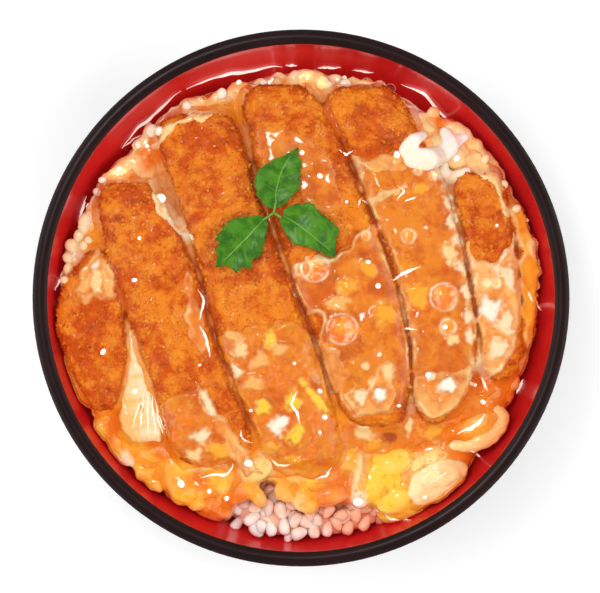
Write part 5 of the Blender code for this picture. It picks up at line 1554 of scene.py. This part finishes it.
# White lines on the red wall near the food, where the lacquer mirrors the light: painted highlights.
WALL_HIGHLIGHT_LINES = (
    (0.6, (-55.3, 46.2), (-49.8, 52.8), (-46.6, 54.9), (-41.7, 59.8), (-36.8, 63.5)),
    (0.7, (-35.0, 64.2), (-29.6, 66.7), (-21.5, 69.2), (-14.7, 70.0), (-8.3, 71.6), (-5.8, 71.2)),
    (0.4, (-4.9, 71.5), (-1.1, 71.5)), (0.5, (4.9, 70.9), (12.3, 70.9)),
    (0.3, (-55.0, 46.2), (-51.5, 48.9), (-48.8, 50.3)), (0.4, (-12.0, 67.8), (-5.5, 68.7)),
    (0.4, (15.9, 70.2), (22.1, 69.0)),
    (0.6, (30.7, 65.6), (37.9, 62.6), (43.4, 56.6), (48.3, 52.1)),
    (0.5, (-68.4, 23.3), (-65.9, 31.3)), (0.4, (-74.8, 2.5), (-73.0, 7.1)),
    (0.4, (71.2, -0.6), (73.3, -3.7)), (0.7, (68.4, -25.1), (66.2, -29.4)),
    (0.4, (54.9, -48.8), (53.4, -47.5)), (0.5, (25.1, -65.6), (27.3, -67.5), (33.4, -67.5)),
)
THREAD_STEPS = 16
# How much of its listed thickness each kind gets.
THREAD_SHARE = 0.62
WALL_HIGHLIGHT_SHARE = 0.85
# The highlight lines lie deep on the wall, where they look nearer to the middle than they are.
WALL_REACH = 1.022


def strand(name, thickness, path):
    """A thread along a path, wavy, uneven and thin at both ends, made a mesh."""
    bpy.ops.curve.primitive_nurbs_path_add()
    line = added(name)
    line.matrix_world = Matrix.Identity(4)
    spline = line.data.splines[0]
    spline.points.add(THREAD_STEPS - len(spline.points))
    for step, point in enumerate(spline.points):
        share = step / (THREAD_STEPS - 1)
        x, y, _ = on_path(path, share * PATH_END)
        x += draw.uniform(-0.18, 0.18)
        y += draw.uniform(-0.18, 0.18)
        z = top_at(support, x * MM, y * MM, RIM_HEIGHT) + 0.1 * thickness * MM
        inward = (1 - 0.6 * thickness / math.hypot(x, y)) * MM
        point.co = (x * inward, y * inward, z, 1)
        point.radius = (0.15 + 0.85 * math.sin(math.pi * share) ** 1.5) * draw.uniform(0.5, 1.4)
    spline.use_endpoint_u = True
    line.data.bevel_depth = thickness * MM
    line.data.bevel_resolution = 2
    line.data.use_fill_caps = True
    select_only(line)
    bpy.ops.object.convert(target="MESH")
    return bpy.context.active_object


threads = join([strand(f"thread_{number}", THREAD_SHARE * thickness, path)
                for number, (thickness, *path) in enumerate(THREADS)], "white_threads_and_highlights")
wall_highlight_paths = [[(WALL_REACH * x, WALL_REACH * y) for x, y in path] for _, *path in WALL_HIGHLIGHT_LINES]
wall_highlight_lines = join([strand(f"wet_{number}", WALL_HIGHLIGHT_SHARE * WALL_HIGHLIGHT_LINES[number][0], path)
                  for number, path in enumerate(wall_highlight_paths)], "wall_highlight_lines")
print("threads:", triangles(threads), "and wet lines:", triangles(wall_highlight_lines), "triangles")

# %% White that glows, for the painted highlights
# The white glows a little, though it is no lamp: painted light on the beads, threads and highlight lines.
glow_white_finish, glow_white_shader, place = new_finish(
    "glowing_highlight_white", Subsurface_Weight=0.3, Subsurface_Scale=1.0 * MM, Subsurface_Radius=(1.0, 0.7, 0.5),
    Coat_Weight=1.0, Coat_Roughness=0.03, Emission_Color=(1.0, 0.95, 0.88, 1), Emission_Strength=0.55)
feed(glow_white_shader,
     Base_Color=place.noise(2.4 * MM).smooth(0.40, 0.65).blend((0.99, 0.93, 0.84), (0.97, 0.80, 0.58)),
     Roughness=place.noise(3 * MM) * 0.2 + 0.12)
pearls.data.materials.append(
    white_finish("cream_pearl", (0.98, 0.74, 0.42), (1.0, 0.90, 0.68), (-50, 30), 100))
for piece in (beads, pearls, threads, wall_highlight_lines):
    piece.data.shade_smooth()
    if piece is not pearls:
        piece.data.materials.append(glow_white_finish)
    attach(piece, "root")

# %% [markdown]
# ## Set white at the far right
# Where much of the white ran together it has set thick and opaque, bent like a hook with short branches.
# Balls are strung along each branch, pressed flat, melted into one piece by a voxel remesh and smoothed.

# %% String the balls and melt them
# Each branch: a path of x, y in mm, and its width at the start and at the end.
SET_WHITE = (
    (((37.6, 50.0), (34.6, 48.6), (32.8, 45.6)), 3.4, 6.0),
    (((32.8, 45.6), (34.2, 42.8), (38.4, 42.4)), 6.0, 7.6),
    (((38.4, 42.4), (43.6, 44.4), (47.2, 48.0)), 7.6, 5.4),
    (((47.2, 48.0), (49.2, 49.2), (51.0, 50.0)), 5.4, 3.0),
    (((45.8, 46.6), (45.6, 48.8), (44.6, 51.2)), 6.6, 4.0),
    (((44.0, 41.4), (43.8, 39.0), (45.6, 37.0)), 3.6, 5.4),
    (((45.6, 37.0), (48.6, 37.6), (51.4, 39.2)), 5.4, 3.0),
)
BALLS_PER_BRANCH = 15
# A ball lies on the mean height of what is under it, felt at these places round its middle, in mm.
AROUND = ((0, 0), (1.6, 0), (-1.6, 0), (0, 1.6), (0, -1.6))


def strung_balls(branch):
    path, first, last = branch
    balls = []
    for step in range(BALLS_PER_BRANCH):
        share = step / (BALLS_PER_BRANCH - 1)
        x, y, _ = on_path(path, share * PATH_END)
        bpy.ops.mesh.primitive_ico_sphere_add(subdivisions=2, radius=1)
        ball = added("white_ball")
        radius = (first + (last - first) * share) / 2
        tops = [top_at(support, (x + dx) * MM, (y + dy) * MM, 0) for dx, dy in AROUND]
        middle = np.array([x * MM, y * MM, sum(tops) / len(tops) + 0.1 * radius * MM])
        size = np.array([radius, radius, 0.3 * radius + 0.5])
        move_points(ball.data, coordinates(ball.data) * size * MM + middle)
        balls.append(ball)
    return balls


set_white = join([ball for branch in SET_WHITE for ball in strung_balls(branch)], "set_white")
melt(set_white, 0.38 * MM, 0.7, 16)
raise_by(set_white, folds, 0.5 * MM, 0.4)
set_white.data.shade_smooth()
set_white.data.materials.append(
    white_finish("opaque_white", (1.0, 0.84, 0.62), (1.0, 0.95, 0.85), (39, 44), 70))
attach(set_white, "root")
print("set white:", triangles(set_white), "triangles")

# %% [markdown]
# ## Bubbles
# A few clear bubbles stand in the film, each inside the pale ring of set egg that the film already
# has there. A bubble is a low dome of clear broth. It would throw a black shadow, so it throws none.

# %% Set the domes
def dome_shape(bubble):
    x, y, radius = bubble
    middle = np.array([x * MM, y * MM, top_at(support, x * MM, y * MM, RIM_HEIGHT) - 0.15 * radius * MM])
    return drop_points * np.array([radius, radius, 0.34 * radius + 0.3]) * MM + middle


bubbles = scattered("clear_bubbles", BUBBLES, dome_shape, drop_faces)
bubbles.visible_shadow = False
bubbles.data.shade_smooth()
clear_finish, clear_shader, place = new_finish(
    "clear_broth", Transmission_Weight=1.0, IOR=1.12, Coat_Weight=1.0, Coat_Roughness=0.02, Coat_IOR=1.5)
feed(clear_shader,
     Base_Color=place.noise(4 * MM).blend((1.0, 0.97, 0.92), (1.0, 0.90, 0.76)),
     Roughness=place.noise(2 * MM) * 0.04 + 0.01)
bubbles.data.materials.append(clear_finish)
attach(bubbles, "root")
print("bubbles:", len(BUBBLES))

# %% [markdown]
# ## The mitsuba leaf
# Mitsuba has three leaflets with pointed teeth. Each is a grid, laid out between the edges and the
# midrib of the real leaflet and sunk along its veins, and gets a little thickness at the end.

# %% Leaflet outlines
LEAF_HUB = (-8.3, 26.1)
LEAFLETS = (
    ((-1.2, 1.2, 0.3, 1.8, 2.1, 1.8), (-4.9, 4.9, 0.6, 6.1, 5.2, 4.6), (-5.9, 10.1, 1.5, 10.1, 8.0, 8.0),
     (-4.6, 13.2, 2.8, 13.5, 8.0, 12.3), (-0.6, 15.8, 4.3, 16.3, 8.5, 15.6),
     (4.0, 17.8, 5.7, 18.0, 7.2, 17.4), (7.3, 19.8, 7.4, 19.8, 7.5, 19.7)),
    ((-1.8, -3.4, -2.5, -1.8, -3.7, -0.8), (-2.8, -8.6, -5.5, -4.6, -8.3, -1.2),
     (-4.0, -13.2, -8.0, -7.4, -13.2, -2.1), (-6.6, -14.4, -9.6, -9.0, -15.3, -4.5),
     (-7.1, -17.3, -11.0, -10.4, -17.9, -7.9), (-9.5, -16.6, -12.2, -11.6, -16.6, -9.2),
     (-11.3, -18.4, -13.4, -12.8, -17.8, -11.3), (-14.2, -16.1, -15.4, -14.7, -17.3, -13.2),
     (-17.5, -16.7, -17.6, -16.7, -17.6, -16.6)),
    ((3.1, 0.9, 2.8, -0.9, 1.8, -2.5), (6.4, 2.5, 6.1, -2.8, 3.7, -6.7),
     (11.7, 2.9, 9.2, -5.2, 6.4, -9.8), (13.2, 0.6, 11.7, -7.1, 8.9, -10.1),
     (17.2, -2.5, 13.8, -8.9, 12.3, -11.3), (19.9, -5.2, 16.0, -10.7, 14.1, -12.0),
     (19.0, -7.7, 17.2, -11.7, 16.3, -13.2), (18.5, -13.4, 18.4, -13.4, 18.4, -13.5)),
)
LEAF_ROWS = 10
TOOTH_DEPTH = 0.75
TEETH_PER_ROW = 1.6
LEAF_COLUMNS = 16
LEAF_RISE = 17.6
LEAF_THICKNESS = 0.8
STALK_RADIUS = 0.40 * MM
STALK_LENGTH = 4.6 * MM


def leaf_rise(x, y):
    """Height of the leaf's upper face at a point given from the hub, in millimetres."""
    px, py = (x + LEAF_HUB[0]) * MM, (y + LEAF_HUB[1]) * MM
    away = math.hypot(x, y) / 20
    wave = 0.3 * (1 + math.sin(0.5 * x) * math.cos(0.45 * y))
    return bed_height(px, py) + (LEAF_RISE + LEAF_THICKNESS + 1.2 * away**2 + wave) * MM


def rounded(rows, row, share):
    """The row between two rows of a leaflet, half straight and half on a smooth curve through them."""
    before, low, high, after = (
        np.array(rows[min(max(row + step, 0), len(rows) - 1)]) for step in (-1, 0, 1, 2))
    straight = low + (high - low) * share
    curved = 0.5 * (2 * low + (high - before) * share + (2 * before - 5 * low + 4 * high - after) * share**2
                    + (3 * low - before - 3 * high + after) * share**3)
    return 0.45 * straight + 0.55 * curved


# %% Make the leaflets
def make_leaflet(number, rows):
    steps = (len(rows) - 1) * LEAF_ROWS
    bpy.ops.mesh.primitive_grid_add(x_subdivisions=LEAF_COLUMNS, y_subdivisions=steps, size=2)
    blade = added(f"leaflet_{number}")
    flat = coordinates(blade.data)
    points = np.empty_like(flat)
    uv = np.empty((len(flat), 2))
    for index, (across, along, _) in enumerate(flat):
        place_along = (along + 1) / 2 * (len(rows) - 1)
        row = min(int(place_along), len(rows) - 2)
        share = place_along - row
        left, midrib, right = (rounded(rows, row, share)[i:i + 2] for i in (0, 2, 4))
        edge = left if across < 0 else right
        tooth = (place_along * TEETH_PER_ROW % 1 - 0.5) * TOOTH_DEPTH * abs(across) ** 6
        reach = math.dist(edge, midrib)
        if 0.3 < place_along < len(rows) - 1.4:
            edge = edge + (edge - midrib) / reach * tooth
        x, y = midrib + (edge - midrib) * abs(across)
        vein = abs(((0.9 * place_along - 0.9 * abs(across)) % 1) - 0.5) * 2
        fold = 0.55 * abs(across) ** 0.8 + 0.30 * (1 - vein) * min(1, 3 * abs(across)) * (1 - abs(across))
        points[index] = (
            (x + LEAF_HUB[0]) * MM, (y + LEAF_HUB[1]) * MM, leaf_rise(x, y) + (fold - 0.4) * MM)
        uv[index] = (across, place_along)
    move_points(blade.data, points)
    layer = blade.data.uv_layers.new(name="leaf")
    for loop in blade.data.loops:
        layer.data[loop.index].uv = uv[loop.vertex_index]
    select_only(blade)
    bpy.ops.object.mode_set(mode="EDIT")
    bpy.ops.mesh.select_all(action="SELECT")
    bpy.ops.mesh.normals_make_consistent(inside=False)
    bpy.ops.object.mode_set(mode="OBJECT")
    if sum(face.normal.z for face in blade.data.polygons) < 0:
        blade.data.flip_normals()
    use_modifier(blade, "SOLIDIFY", thickness=0.25 * MM, offset=-1)
    return blade


def make_stalk(number, degrees):
    """A thin green stalk that joins a leaflet to the hub."""
    turn = math.radians(degrees)
    bpy.ops.mesh.primitive_cylinder_add(vertices=12, radius=STALK_RADIUS, depth=STALK_LENGTH)
    stalk = added(f"stalk_{number}")
    stalk.matrix_world = (Matrix.Translation((LEAF_HUB[0] * MM, LEAF_HUB[1] * MM, leaf_rise(0, 0) - 0.2 * MM))
                          @ Matrix.Rotation(turn, 4, "Z")
                          @ Matrix.Translation((2.0 * MM, 0, 0)) @ Matrix.Rotation(math.pi / 2, 4, "Y"))
    settle(stalk)
    return stalk


blades = [make_leaflet(number, rows) for number, rows in enumerate(LEAFLETS)]
stalks = [make_stalk(number, degrees) for number, degrees in enumerate((80, 215, -35))]
leaf = join(blades + stalks, "mitsuba")
leaf.data.shade_smooth()
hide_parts("mitsuba_leaf")
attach(leaf, "root")
print("leaf:", triangles(leaf), "triangles")

# %% [markdown]
# ## Leaf green
# The veins are drawn in the leaf's own coordinates: one value runs from edge to edge and the other
# from stalk to tip, so side veins are slanting lines of both.

# %% Leaf material
LEAF_DARK = (0.030, 0.130, 0.007)
LEAF_LIGHT = (0.078, 0.250, 0.012)
LEAF_VEIN = (0.20, 0.44, 0.07)

leaf_finish, leaf_shader, place = new_finish(
    "leaf_green", Subsurface_Weight=0.1, Subsurface_Scale=0.6 * MM, Subsurface_Radius=(0.3, 1.0, 0.2),
    Specular_IOR_Level=0.20, Coat_Weight=0.2, Coat_Roughness=0.20)
own = place.node("ShaderNodeUVMap", {"uv_map": "leaf"})
across = abs(own.axis(0))
slant = own.axis(1) * 0.9 - across * 0.9
side_vein = abs(slant.maths("FRACT", slant) - 0.5)
side_line = side_vein.smooth(0.455, 0.495) * (1 - across)
midrib = 1 - across.smooth(0.01, 0.055)
veins = side_line.maths("MAXIMUM", side_line * 0.6, midrib)
mottled = place.noise(3.2 * MM, 4.0, 0.6).smooth(0.35, 0.65).blend(LEAF_DARK, LEAF_LIGHT)
feed(leaf_shader,
     Base_Color=(veins * 0.7).blend(mottled, LEAF_VEIN),
     Roughness=place.noise(2 * MM) * 0.2 + 0.32,
     Normal=bump(place.noise(1.1 * MM, 3.0) * 0.5 - veins * 0.5, 0.25 * MM, 0.6))
leaf.data.materials.append(leaf_finish)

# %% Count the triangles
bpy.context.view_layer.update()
shown = [thing for thing in bpy.context.scene.objects if thing.type == "MESH" and not thing.hide_render]
print("triangles in all:", sum(triangles(thing) for thing in shown))
